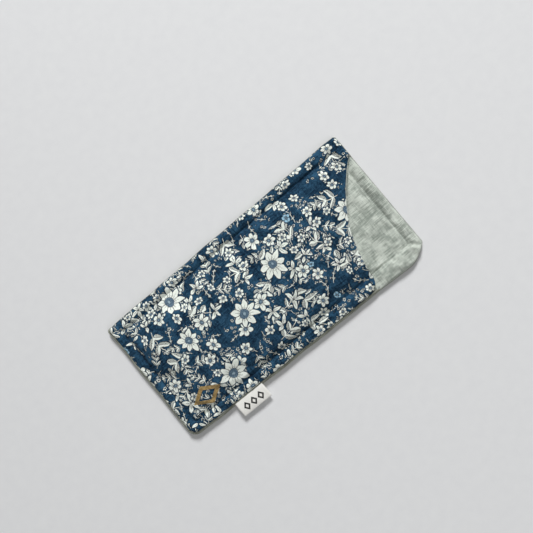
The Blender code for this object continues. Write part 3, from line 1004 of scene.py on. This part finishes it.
def fleece():
    made, tree, shader = new_material("fleece", 1.0, 0.5)
    flat = cloth_place(tree)
    fuzz = noise_node(tree, flat, 1.4, 6.0, 0.8)
    feed(tree, shader.inputs["Base Color"],
         mix_colour(tree, srgb(214, 210, 198), srgb(240, 238, 230), fuzz.ramp(0.3, 0.7)))
    add_bump(tree, shader, fuzz, 0.5)
    return made


def thread(name, dark, light):
    """Two plies twisted round each other: the slanting light and dark bands along each stitch are painted
    shade between the plies, with a bump to match.
    """
    made, tree, shader = new_material(name, 0.62, 0.3)
    place = add_node(tree, "ShaderNodeTexCoord", ["Object"])
    x, y, z = add_node(tree, "ShaderNodeSeparateXYZ", ["X", "Y", "Z"], Vector=place)
    # Painted shade: each ply is lighter, the groove between the plies darker.
    ply_shade = ((x + y * 1.3 + z * 2.0) * (math.tau / (0.55 * MM))).do("SINE") * 0.5 + 0.5
    feed(tree, shader.inputs["Base Color"], mix_colour(tree, dark, light, ply_shade))
    add_bump(tree, shader, ply_shade, 0.05)
    return made


PRINT = printed_cotton()
LINING = linen("lining_linen", srgb(132, 142, 133), srgb(220, 227, 217), 0.55, 1.5)
BACKING = linen("backing_linen", srgb(112, 116, 104), srgb(164, 167, 154), 0.6, 1.2)
FLEECE = fleece()
NAVY_THREAD = thread("navy_thread", srgb(24, 44, 78), srgb(52, 82, 122))
GREY_THREAD = thread("grey_thread", srgb(120, 128, 122), srgb(170, 178, 170))

# %% [markdown]
# ## The front
# The print, the fleece and the lining each get their own sheet.  Where the edge is sewn, the print
# rolls down to the seam.  At the mouth it rolls over a soft lip, where the lining meets it.


# %% Front outline
def quarter_rings(radius, drop, steps):
    """Rings of an edge that rolls over on a quarter ellipse: (distance in, height), middle first."""
    even = [REACH - i * 0.42 for i in range(int((REACH - radius) / 0.42) + 1)]
    rings = [(inset, drop) for inset in even if inset > radius + 0.2]
    for i in range(steps + 1):
        turn = math.pi / 2 * i / steps
        rings.append((radius * (1 - math.sin(turn)), drop * math.cos(turn)))
    return rings


ROLL = 2.8
LIP = 1.35
FRONT_RINGS = quarter_rings(ROLL, 1.9, 8)


def side_wobble(x, seed):
    return 0.35 * wave(x, 0.0, 22.0, seed) + 0.12 * wave(x, 0.0, 7.0, seed + 4)


def front_outline(in_near, in_low, in_high, in_far):
    """The front's edges, each this far inside the pouch's own outline."""
    return Outline(
        lambda y: CLOSED_X + in_near + 0.3 * wave(0.0, y, 20.0, 2.2) + 0.3,
        lambda y: min(mouth_x(y) - in_far, OPEN_X - in_far),
        lambda x: -half_width(x) + in_low + side_wobble(x, 6.6),
        lambda x: half_width(x) - in_high + side_wobble(x, 9.9) - 0.2,
        (4.0, 1.6, MOUTH_CORNER, 1.6))


def lip_share(x, y):
    """1 along the free lip of the mouth, 0 where the edge is sewn down."""
    return smooth(y, -42.5, -36.0) * smooth(-y, -31.0, -27.5) * smooth(x, 42.0, 50.0)


def front_shape(rings):
    """Top of the print: down to the seam at a sewn edge, over the lip at the mouth."""

    def shape(x, y, ring):
        inset = rings[ring][0]
        lip = lip_share(x, y)
        top = front_top(x, y)
        roll = lerp(ROLL, LIP, lip)
        drop = lerp(top - seam_at(x, y)[1], LIP, lip)
        bend = clamp(1 - inset / roll)
        return x, y, top - drop * (1 - math.sqrt(1 - bend * bend))

    return shape


front_cloth = add_piece(
    "front_cloth",
    sheet_mesh("front_cloth", front_outline(1.4, 1.9, 0.2, 0.45), FRONT_RINGS, (112, 56),
               front_shape(FRONT_RINGS)), PRINT)
add_thickness(front_cloth, 0.45)


# %% Lining and fleece of the front
def inner_rings(step):
    """Plain rings for a layer whose edge stays flat and hidden."""
    return [(REACH * (1 - i / step), 1.0) for i in range(step + 1)]


def lining_shape(rings):
    """Underside of the front lining: it curls up round the lip to meet the print."""

    def shape(x, y, ring):
        inset = rings[ring][0]
        rise = LIP * 1.05 * lip_share(x, y)
        bend = clamp(1 - inset / LIP)
        return x, y, front_under(x, y) + rise * (1 - math.sqrt(1 - bend * bend))

    return shape


def hidden_shape(height):
    return lambda x, y, ring: (x, y, height(x, y))


LINING_RINGS = quarter_rings(LIP, 1.4, 5)
front_lining_cloth = add_piece(
    "front_lining_cloth",
    sheet_mesh("front_lining_cloth", front_outline(3.4, 3.2, 3.0, 0.0), LINING_RINGS, (70, 36),
               lining_shape(LINING_RINGS)), LINING)
add_thickness(front_lining_cloth, 0.4, 1.0)

FLEECE_RINGS = inner_rings(20)


def front_fleece_height(x, y):
    return (front_top(x, y) + front_under(x, y)) / 2 - 0.05


front_fleece = add_piece(
    "front_fleece",
    sheet_mesh("front_fleece", front_outline(3.6, 3.4, 3.2, 2.4), FLEECE_RINGS, (60, 30),
               hidden_shape(front_fleece_height)), FLEECE)
add_thickness(front_fleece, 0.5, 0.0)


# %% [markdown]
# ## The back and the flap
# The backing lies on the table, rolls up round the edge and ends in the seam.  The lining is
# hidden under the front and rolls down to the same seam out on the flap.

# %% Back outline
CLIP_LENGTH = 9.5
CLIP_WIDTH = 7.0


def back_far(inset):
    """The mouth end, with the clipped corner on the low side."""

    def far(y):
        clip = OPEN_X - CLIP_LENGTH * (-(MOUTH_HALF - CLIP_WIDTH) - y) / CLIP_WIDTH
        return soft_min(OPEN_X, clip, 1.4) - inset

    return far


def back_outline(in_near, in_low, in_high, in_far):
    return Outline(
        lambda y: CLOSED_X + in_near + 0.3 * wave(0.0, y, 20.0, 2.2),
        back_far(in_far),
        lambda x: -half_width(x) + in_low + side_wobble(x, 6.6),
        lambda x: half_width(x) - in_high + side_wobble(x, 9.9),
        (5.5, 1.8, 4.5, 1.8))


BULGE_Z = 1.7            # the edge roll is widest at this height
BULGE = 2.6


def backing_rings(steps):
    """Rings of the backing: flat below, round the bulge, and in to the seam; (distance in, height)."""
    even = [REACH - i * 0.45 for i in range(int((REACH - BULGE) / 0.45) + 1)]
    rings = [(inset, 0.0) for inset in even if inset > BULGE + 0.2]
    for i in range(steps + 1):
        turn = math.pi / 2 * i / steps
        rings.append((BULGE * (1 - math.sin(turn)), BULGE_Z * (1 - math.cos(turn))))
    for i in range(1, steps + 1):
        turn = math.pi / 2 * i / steps
        rings.append((1.0 - math.cos(turn), BULGE_Z + 2.0 * math.sin(turn)))
    return rings


BACK_RINGS = backing_rings(6)
UPPER = 6                # rings above the bulge


def backing_shape(x, y, ring):
    """The rings above the bulge stretch to reach the seam wherever it lies."""
    above = ring - (len(BACK_RINGS) - 1 - UPPER)
    inset, height = BACK_RINGS[ring]
    if above <= 0:
        return x, y, back_under(x, y) * clamp(inset / BULGE) + height
    seam_in, seam_up = seam_at(x, y)
    turn = math.pi / 2 * above / UPPER
    shift = (seam_in - 1.0) * (1 - math.cos(turn))
    inward = Vector((clamp((CLOSED_X + REACH - x) / 6) - clamp((x - OPEN_X + REACH) / 6),
                     clamp((-half_width(x) + REACH - y) / 6) - clamp((y - half_width(x) + REACH) / 6)))
    if abs(inward.x) > abs(inward.y):
        inward = Vector((math.copysign(1.0, inward.x), 0.0))
    else:
        inward = Vector((0.0, math.copysign(1.0, inward.y)))
    return (x + inward.x * shift, y + inward.y * shift,
            BULGE_Z + (seam_up - BULGE_Z) * math.sin(turn))


back_cloth = add_piece(
    "back_cloth",
    sheet_mesh("back_cloth", back_outline(0.0, 0.0, 0.0, 0.0), BACK_RINGS, (96, 48), backing_shape),
    BACKING)
add_thickness(back_cloth, 0.45, 1.0)

FLAP_ROLL = 2.0
BACK_LINING_RINGS = quarter_rings(FLAP_ROLL, 1.8, 6)


def back_lining_shape(x, y, ring):
    inset = BACK_LINING_RINGS[ring][0]
    bare = flapness(x, y)
    bend = clamp(1 - inset / FLAP_ROLL)
    top = back_top(x, y)
    drop = (top - FLAP_SEAM[1]) * bare
    return x, y, top - drop * (1 - math.sqrt(1 - bend * bend))


def back_lining_side(x):
    """How far the back lining stops short: it reaches the seam only out on the flap."""
    return lerp(3.0, 0.35, smooth(x, 47.0, 53.0))


back_lining_outline = back_outline(3.2, 0.0, 3.0, 0.35)
plain_low = back_lining_outline.low
back_lining_outline.low = lambda x: plain_low(x) + back_lining_side(x)
back_lining_cloth = add_piece(
    "back_lining_cloth",
    sheet_mesh("back_lining_cloth", back_lining_outline, BACK_LINING_RINGS, (84, 44), back_lining_shape),
    LINING)
add_thickness(back_lining_cloth, 0.4)


def back_fleece_height(x, y):
    return (back_top(x, y) + back_under(x, y)) / 2


back_fleece = add_piece(
    "back_fleece",
    sheet_mesh("back_fleece", back_outline(3.2, 3.2, 3.2, 3.2), FLEECE_RINGS, (60, 30),
               hidden_shape(back_fleece_height)), FLEECE)
add_thickness(back_fleece, 0.5, 0.0)


# %% [markdown]
# ## Stitches
# A stitch is a short piece of thread that dives into the cloth at both ends.  A stretched sphere
# looks just like that, and costs few faces, so a few hundred of them can lie along the grooves.

# %% Stitch line as a path
STITCH_PITCH = 3.0
SEAM_PITCH = 2.4


def stitch_path():
    """The topstitching as a closed walk: corner points joined by straight runs."""
    corners = []
    for x, line in ((STITCH_NEAR, stitch_low), (STITCH_FAR, stitch_low),
                    (STITCH_FAR, stitch_high), (STITCH_NEAR, stitch_high)):
        corners.append(Vector((x, line(x))))
    return walk(corners, STITCH_PITCH)


def walk(corners, pitch):
    """(place, direction) at even steps round a closed run of corners."""
    found = []
    for start, end in zip(corners, corners[1:] + corners[:1]):
        count = max(round((end - start).length / pitch), 1)
        for i in range(count):
            found.append((start.lerp(end, (i + 0.5) / count), (end - start).normalized()))
    return found


def stitches_mesh(name, places, height, length, thickness):
    """One stretched sphere at each place, lying along the cloth."""
    work = bmesh.new()
    for spot, along in places:
        step = along * (length / 2)
        before, after = spot - step, spot + step
        rise = height(after.x, after.y) - height(before.x, before.y)
        direction = Vector((along.x * length, along.y * length, rise)).normalized()
        turn = direction.to_track_quat("X", "Z").to_matrix().to_4x4()
        size = Matrix.Diagonal((length / 2, thickness / 2, thickness / 2, 1.0))
        middle = Matrix.Translation((spot.x, spot.y, height(spot.x, spot.y)))
        bmesh.ops.create_icosphere(work, subdivisions=1, radius=1.0, matrix=middle @ turn @ size)
    bmesh.ops.scale(work, vec=(MM, MM, MM), verts=work.verts)
    return finished_mesh(work, name)


# %% Topstitching, its bobbin thread, and the seams
THREAD = 0.42
SEAM_THREAD = 0.3
STITCH, SEAM_STITCH, MOUTH_STITCH = 2.3, 1.9, 1.6      # how long each kind of stitch is
SEAM_INSET = 2.2
SEAM_HEIGHT, FLAP_SEAM_HEIGHT = 2.9, 1.7
route = stitch_path()
over_front = [(p, d) for p, d in route if p.x < rounded_mouth_x(p.y) - 1.5]
over_flap = [(p, d) for p, d in route if p.x > rounded_mouth_x(p.y) + 1.5]
border_stitches = add_piece(
    "border_stitches",
    stitches_mesh("border_stitches", over_front, lambda x, y: front_top(x, y) + 0.05, STITCH, THREAD),
    NAVY_THREAD)
flap_stitches = add_piece(
    "flap_stitches",
    stitches_mesh("flap_stitches", over_flap, lambda x, y: back_top(x, y) + 0.05, STITCH, THREAD),
    GREY_THREAD)
bobbin_stitches = add_piece(
    "bobbin_stitches",
    stitches_mesh("bobbin_stitches", route, back_under, STITCH, THREAD * 0.8),
    GREY_THREAD)


def edge_corners(inset):
    """The pouch's own edge as corners, this far in, from the closed end by the low side."""
    x0, x1 = CLOSED_X + inset, OPEN_X - inset
    return [Vector(p) for p in (
        (x0, -half_width(x0) + inset), (x1 - CLIP_LENGTH, -half_width(x1) + inset),
        (x1, -MOUTH_HALF + CLIP_WIDTH + inset / 2), (x1, half_width(x1) - inset),
        (x0, half_width(x0) - inset))]


seam_route = walk(edge_corners(SEAM_INSET), SEAM_PITCH)
seam_on_pouch = [(p, d) for p, d in seam_route if flapness(p.x, p.y) < 0.5]
seam_on_flap = [(p, d) for p, d in seam_route if flapness(p.x, p.y) >= 0.5]
edge_seam = add_piece(
    "edge_seam_stitches",
    stitches_mesh("edge_seam_stitches", seam_on_pouch, lambda x, y: SEAM_HEIGHT, SEAM_STITCH,
                  SEAM_THREAD), NAVY_THREAD)
flap_seam = add_piece(
    "flap_seam_stitches",
    stitches_mesh("flap_seam_stitches", seam_on_flap, lambda x, y: FLAP_SEAM_HEIGHT, SEAM_STITCH,
                  SEAM_THREAD), GREY_THREAD)

MOUTH_STEPS = 40
mouth_points = []
for i in range(MOUTH_STEPS + 1):
    y = lerp(-36.0, MOUTH_HIGH_Y - 3.0, i / MOUTH_STEPS)
    mouth_points.append(Vector((mouth_x(y) - 1.6, y)))
mouth_places = [(a.lerp(b, 0.5), (b - a).normalized()) for a, b in zip(mouth_points, mouth_points[1:])]
mouth_seam = add_piece(
    "mouth_seam_stitches",
    stitches_mesh("mouth_seam_stitches", mouth_places,
                  lambda x, y: (front_top(x, y) + front_under(x, y)) / 2, MOUTH_STITCH,
                  SEAM_THREAD), NAVY_THREAD)
print(len(over_front) + len(over_flap), "topstitches,", len(route), "bobbin stitches,",
      len(seam_route), "round the edge,", len(mouth_places), "at the mouth")

# %% [markdown]
# ## The pressed foil mark
# Foil pressed on cloth sinks into it and follows it, so the mark is a thin outline laid on the
# print's own height.  Its worn edges let the weave through; the material only mixes two golds by a fine
# grain.


# %% Foil mark
def foil_finish():
    made, tree, shader = new_material("gold_foil", 0.42)
    shader.inputs["Metallic"].default_value = 0.25
    place = add_node(tree, "ShaderNodeTexCoord", ["Object"])
    grain = noise_node(tree, place, 900.0, 4.0, dimensions="3D")
    worn = grain.ramp(0.38, 0.66)
    gold = mix_colour(tree, srgb(150, 124, 78), srgb(192, 164, 110), worn)
    feed(tree, shader.inputs["Base Color"], gold)
    feed(tree, shader.inputs["Roughness"], grain * 0.35 + 0.3)
    add_bump(tree, shader, grain, 0.06)
    return made


FOIL_MIDDLE = (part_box("foil_mark")[0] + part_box("foil_mark")[1]) / 2 / MM
FOIL_LENGTH, FOIL_WIDTH, FOIL_STROKE = 21.0, 13.0, 2.3


def foil_mesh():
    work = bmesh.new()
    bmesh.ops.create_circle(work, cap_ends=True, segments=4, radius=0.5)
    bmesh.ops.scale(work, vec=(FOIL_LENGTH, FOIL_WIDTH, 1), verts=work.verts)
    bmesh.ops.inset_region(work, faces=work.faces[:], thickness=FOIL_STROKE, use_boundary=True,
                           use_even_offset=True)
    middle = [face for face in work.faces if face.calc_center_median().length < FOIL_STROKE / 2]
    bmesh.ops.delete(work, geom=middle, context="FACES")
    bmesh.ops.subdivide_edges(work, edges=work.edges[:], cuts=11, use_grid_fill=True)
    for vertex in work.verts:
        x, y = vertex.co.x + FOIL_MIDDLE.x, vertex.co.y + FOIL_MIDDLE.y
        vertex.co = Vector((x, y, front_top(x, y) + 0.03)) * MM
    raised = bmesh.ops.extrude_face_region(work, geom=work.faces[:])
    top = [item for item in raised["geom"] if isinstance(item, bmesh.types.BMVert)]
    bmesh.ops.translate(work, vec=(0, 0, 0.1 * MM), verts=top)
    bmesh.ops.recalc_face_normals(work, faces=work.faces)
    return finished_mesh(work, "foil_outline", soft=False)


foil_outline = add_piece("foil_outline", foil_mesh(), foil_finish())

# %% [markdown]
# ## The label
# A woven tape is folded in two, and its raw ends are caught in the side seam.  It leaves the seam
# a little open, springs apart, and closes at the fold.  Three small lozenges are woven into it.

# %% Label
LABEL_LOW, LABEL_HIGH = (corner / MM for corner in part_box("side_label"))
LABEL_MIDDLE_X = (LABEL_LOW.x + LABEL_HIGH.x) / 2
LABEL_WIDTH = LABEL_HIGH.x - LABEL_LOW.x
LABEL_FOLD_Y = LABEL_LOW.y
LABEL_ROOT_Y = -half_width(LABEL_MIDDLE_X) + 1.6
LABEL_Z = (LABEL_LOW.z + LABEL_HIGH.z) / 2
LABEL_ALONG = 40
LABEL_TURN = 2.2         # length of tape in the fold
LABEL_FOLD_DEPTH = 0.8   # how far the fold stands out
LABEL_GAP = 0.28         # half the gap between the two plies at the fold


def label_finish():
    made, tree, shader = new_material("woven_tape", 0.78, 0.25)
    flat = cloth_place(tree)
    u, v = add_node(tree, "ShaderNodeSeparateXYZ", ["X", "Y"], Vector=flat)
    cell = ((u - 2.6) / 5.2).do("FRACT") - 0.5
    across = (v - 5.6).do("ABSOLUTE") / 5.2
    lozenge = cell.do("ABSOLUTE") * 1.25 + across
    ring = (lozenge < 0.55) * (lozenge > 0.25)
    inside = (u > 2.6) * (u < 18.2)
    height = use_group(tree, WEAVE, ["Height"], Vector=flat, Pitch=0.3)
    slub = use_group(tree, SLUB, ["Shade"], Vector=flat, Size=2.4)
    # The weave's height is painted into the tape's colour as shade between the threads; the slub is the
    # tape's own tone.
    mottled = slub.ramp(0.3, 0.7) * 0.6 + height * 0.4
    tape = mix_colour(tree, srgb(238, 237, 231), srgb(254, 253, 249), mottled)
    feed(tree, shader.inputs["Base Color"], mix_colour(tree, tape, srgb(32, 32, 34), ring * inside))
    add_bump(tree, shader, height, 0.07)
    return made


def label_mesh():
    reach = LABEL_ROOT_Y - LABEL_FOLD_Y - LABEL_FOLD_DEPTH - 0.1
    work = bmesh.new()
    bmesh.ops.create_grid(work, x_segments=24, y_segments=LABEL_ALONG, size=0.5)
    cloth = {}
    for vertex in work.verts:
        share = vertex.co.y + 0.5
        across = (vertex.co.x + 0.5) * LABEL_WIDTH
        walked = share * (2 * reach + LABEL_TURN)
        top = walked <= reach
        bottom = walked >= reach + LABEL_TURN
        out = walked if top else reach - (walked - reach - LABEL_TURN) if bottom else reach
        spring = LABEL_GAP + 0.5 * math.sin(math.pi * clamp(out / reach)) ** 0.8
        if top or bottom:
            up = spring if top else -spring
            y = LABEL_ROOT_Y - out
        else:
            turn = math.pi * (walked - reach) / LABEL_TURN
            up = LABEL_GAP * math.cos(turn)
            y = LABEL_ROOT_Y - reach - LABEL_FOLD_DEPTH * math.sin(turn)
        lift = 0.25 * wave(across, out, 9.0, 12.0) * clamp(out / reach)
        x = LABEL_MIDDLE_X - LABEL_WIDTH / 2 + across
        cloth[vertex.index] = (across, walked)
        vertex.co = Vector((x, y, LABEL_Z + up + lift + 0.35)) * MM
    return finished_mesh(work, "label_tape", cloth)


label_tape = add_piece("label_tape", label_mesh(), label_finish())
add_thickness(label_tape, 0.22, 0.0)

# %% [markdown]
# ## What moves with what
# The middle of the front lifts and its sides stay down, so the front's layers follow the root at
# the stitch line and the lifting front in the middle.  The back's layers bend where the flap folds.

# %% Follow the bodies
fold_joint = next(joint for joint in frame["joints"] if joint["name"] == "flap_fold")
fold_axis = Vector(fold_joint["axis"])
FOLD_POINT = Vector(fold_joint["pos_m"]) / MM
FOLD_OUTWARD = Vector((-fold_axis.y, fold_axis.x, 0.0))
print("the flap folds about", FOLD_POINT, "and points", FOLD_OUTWARD)
LIFT_RUN = 30.0          # from a long stitch line to where the front follows fully
LIFT_START = 12.0        # the same from the closed end, where the front turns


def lift_share(x, y):
    """How much a place on the front follows the lifting body; the whole border stays down."""
    rim = min(y - stitch_low(x), stitch_high(x) - y)
    return smooth(rim, 0.0, LIFT_RUN) * smooth(x - STITCH_NEAR, 0.0, LIFT_START)


def lift(piece):
    start, end = Vector((CLOSED_X, 0, 6)) * MM, Vector((OPEN_X, 0, 6)) * MM
    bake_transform(piece, "root", "front", start=start, end=end)
    for vertex, weight in zip(piece.data.vertices, piece.data.attributes["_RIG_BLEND"].data):
        weight.value = lift_share(vertex.co.x / MM, vertex.co.y / MM)


def fold(piece):
    start = (FOLD_POINT - FOLD_OUTWARD) * MM
    end = (FOLD_POINT + FOLD_OUTWARD * 6.0) * MM
    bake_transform(piece, "root", "flap", start=start, end=end)


for piece in (front_cloth, front_lining_cloth, front_fleece, mouth_seam, foil_outline):
    lift(piece)
for piece in (back_cloth, back_lining_cloth, back_fleece, bobbin_stitches, flap_stitches, flap_seam):
    fold(piece)
for piece in (border_stitches, edge_seam):
    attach(piece, "root")
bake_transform(label_tape, "root", "label", start=Vector((0, LABEL_ROOT_Y, 3)) * MM,
         end=Vector((0, LABEL_ROOT_Y - 3.0, 3)) * MM)

# %% [markdown]
# ## Standing for the plain solids
# Each piece is listed with the plain solids that it stands for, which are hidden, and with a slot
# name, which nothing here reads.  The thread under the back has no solid of its own, so it stands for none.

# %% Stand for the plain solids
STANDS_FOR = (
    (front_cloth, "printed_cotton", ("front_outer", "border_outer")),
    (front_lining_cloth, "lining_linen", ("front_lining", "border_lining")),
    (front_fleece, "fleece", ("front_wadding", "border_wadding")),
    (back_cloth, "backing_linen", ("back_outer", "flap_outer")),
    (back_lining_cloth, "lining_linen", ("back_lining", "flap_lining")),
    (back_fleece, "fleece", ("back_wadding", "flap_wadding")),
    (border_stitches, "thread", ("border_topstitch_thread",)),
    (flap_stitches, "grey_thread", ("flap_topstitch_thread",)),
    (bobbin_stitches, "grey_thread", ()),
    (edge_seam, "thread", ("perimeter_seam_thread",)),
    (flap_seam, "grey_thread", ("flap_seam_thread",)),
    (mouth_seam, "thread", ("mouth_seam_thread",)),
    (foil_outline, "gold_foil", ("foil_mark",)),
    (label_tape, "woven_tape", ("side_label",)),
)
for piece, slot, nodes in STANDS_FOR:
    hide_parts(*nodes)

# %% [markdown]

# %% [markdown]
# ## Floor, light and camera
# The pouch lies on a pale painted surface under a wide soft light, seen from above and turned, so
# that its length runs up to the right.

# %% Floor
floor_work = bmesh.new()
bmesh.ops.create_grid(floor_work, x_segments=1, y_segments=1, size=3.0)
floor_finish, floor_tree, floor_shader = new_material("floor", 0.75)
floor_place = add_node(floor_tree, "ShaderNodeTexCoord", ["Object"])
floor_grain = noise_node(floor_tree, floor_place, 160.0, 3.0, dimensions="3D")
feed(floor_tree, floor_shader.inputs["Base Color"],
     mix_colour(floor_tree, srgb(229, 230, 232), srgb(236, 237, 238), floor_grain))
floor = add_piece("floor", finished_mesh(floor_work, "floor", soft=False), floor_finish)

# %% Camera
TURN = math.radians(39.6)
TILT = math.radians(-3.0)
HEIGHT = 0.325
OFFSET = Vector((-0.0008, -0.0139, 0.0))
camera_data = bpy.data.cameras.new("camera")
camera_data.lens = 36.47
camera_data.clip_start = 0.01
camera = bpy.data.objects.new("camera", camera_data)
bpy.context.scene.collection.objects.link(camera)
view = Matrix.Rotation(TILT, 4, "Y") @ Matrix.Translation(OFFSET) @ Matrix.Rotation(TURN, 4, "Z")
camera.matrix_world = view.inverted() @ Matrix.Translation((0, 0, HEIGHT))
bpy.context.scene.camera = camera


# %% Lights
def area_light(name, toward, distance, size, power, aim=(0.0, 0.0, 0.0), spread=180):
    """A soft light, with its direction and the place it is aimed at given as the camera sees them."""
    data = bpy.data.lights.new(name, "AREA")
    data.shape = "DISK"
    data.size = size
    data.energy = power
    data.spread = math.radians(spread)
    lamp = bpy.data.objects.new(name, data)
    bpy.context.scene.collection.objects.link(lamp)
    as_seen = Matrix.Rotation(-TURN, 3, "Z")
    place = as_seen @ Vector(toward).normalized() * distance
    beam = as_seen @ Vector(aim) - place
    lamp.matrix_world = Matrix.Translation(place) @ beam.to_track_quat("-Z", "Y").to_matrix().to_4x4()
    print(name, "stands", round(distance, 2), "m away")


area_light("window", (-0.15, 1.0, 0.78), 2.6, 0.7, 25.0, (0.16, -0.2, 0.0), 120)
area_light("room", (0.62, -0.5, 1.0), 1.5, 1.2, 3.4)
world = bpy.data.worlds.new("studio")
world.use_nodes = True
sky = world.node_tree.nodes["Background"]
sky.inputs["Color"].default_value = (1.0, 1.0, 0.985, 1.0)
sky.inputs["Strength"].default_value = 0.2
bpy.context.scene.world = world
bpy.context.scene.view_settings.view_transform = "Standard"
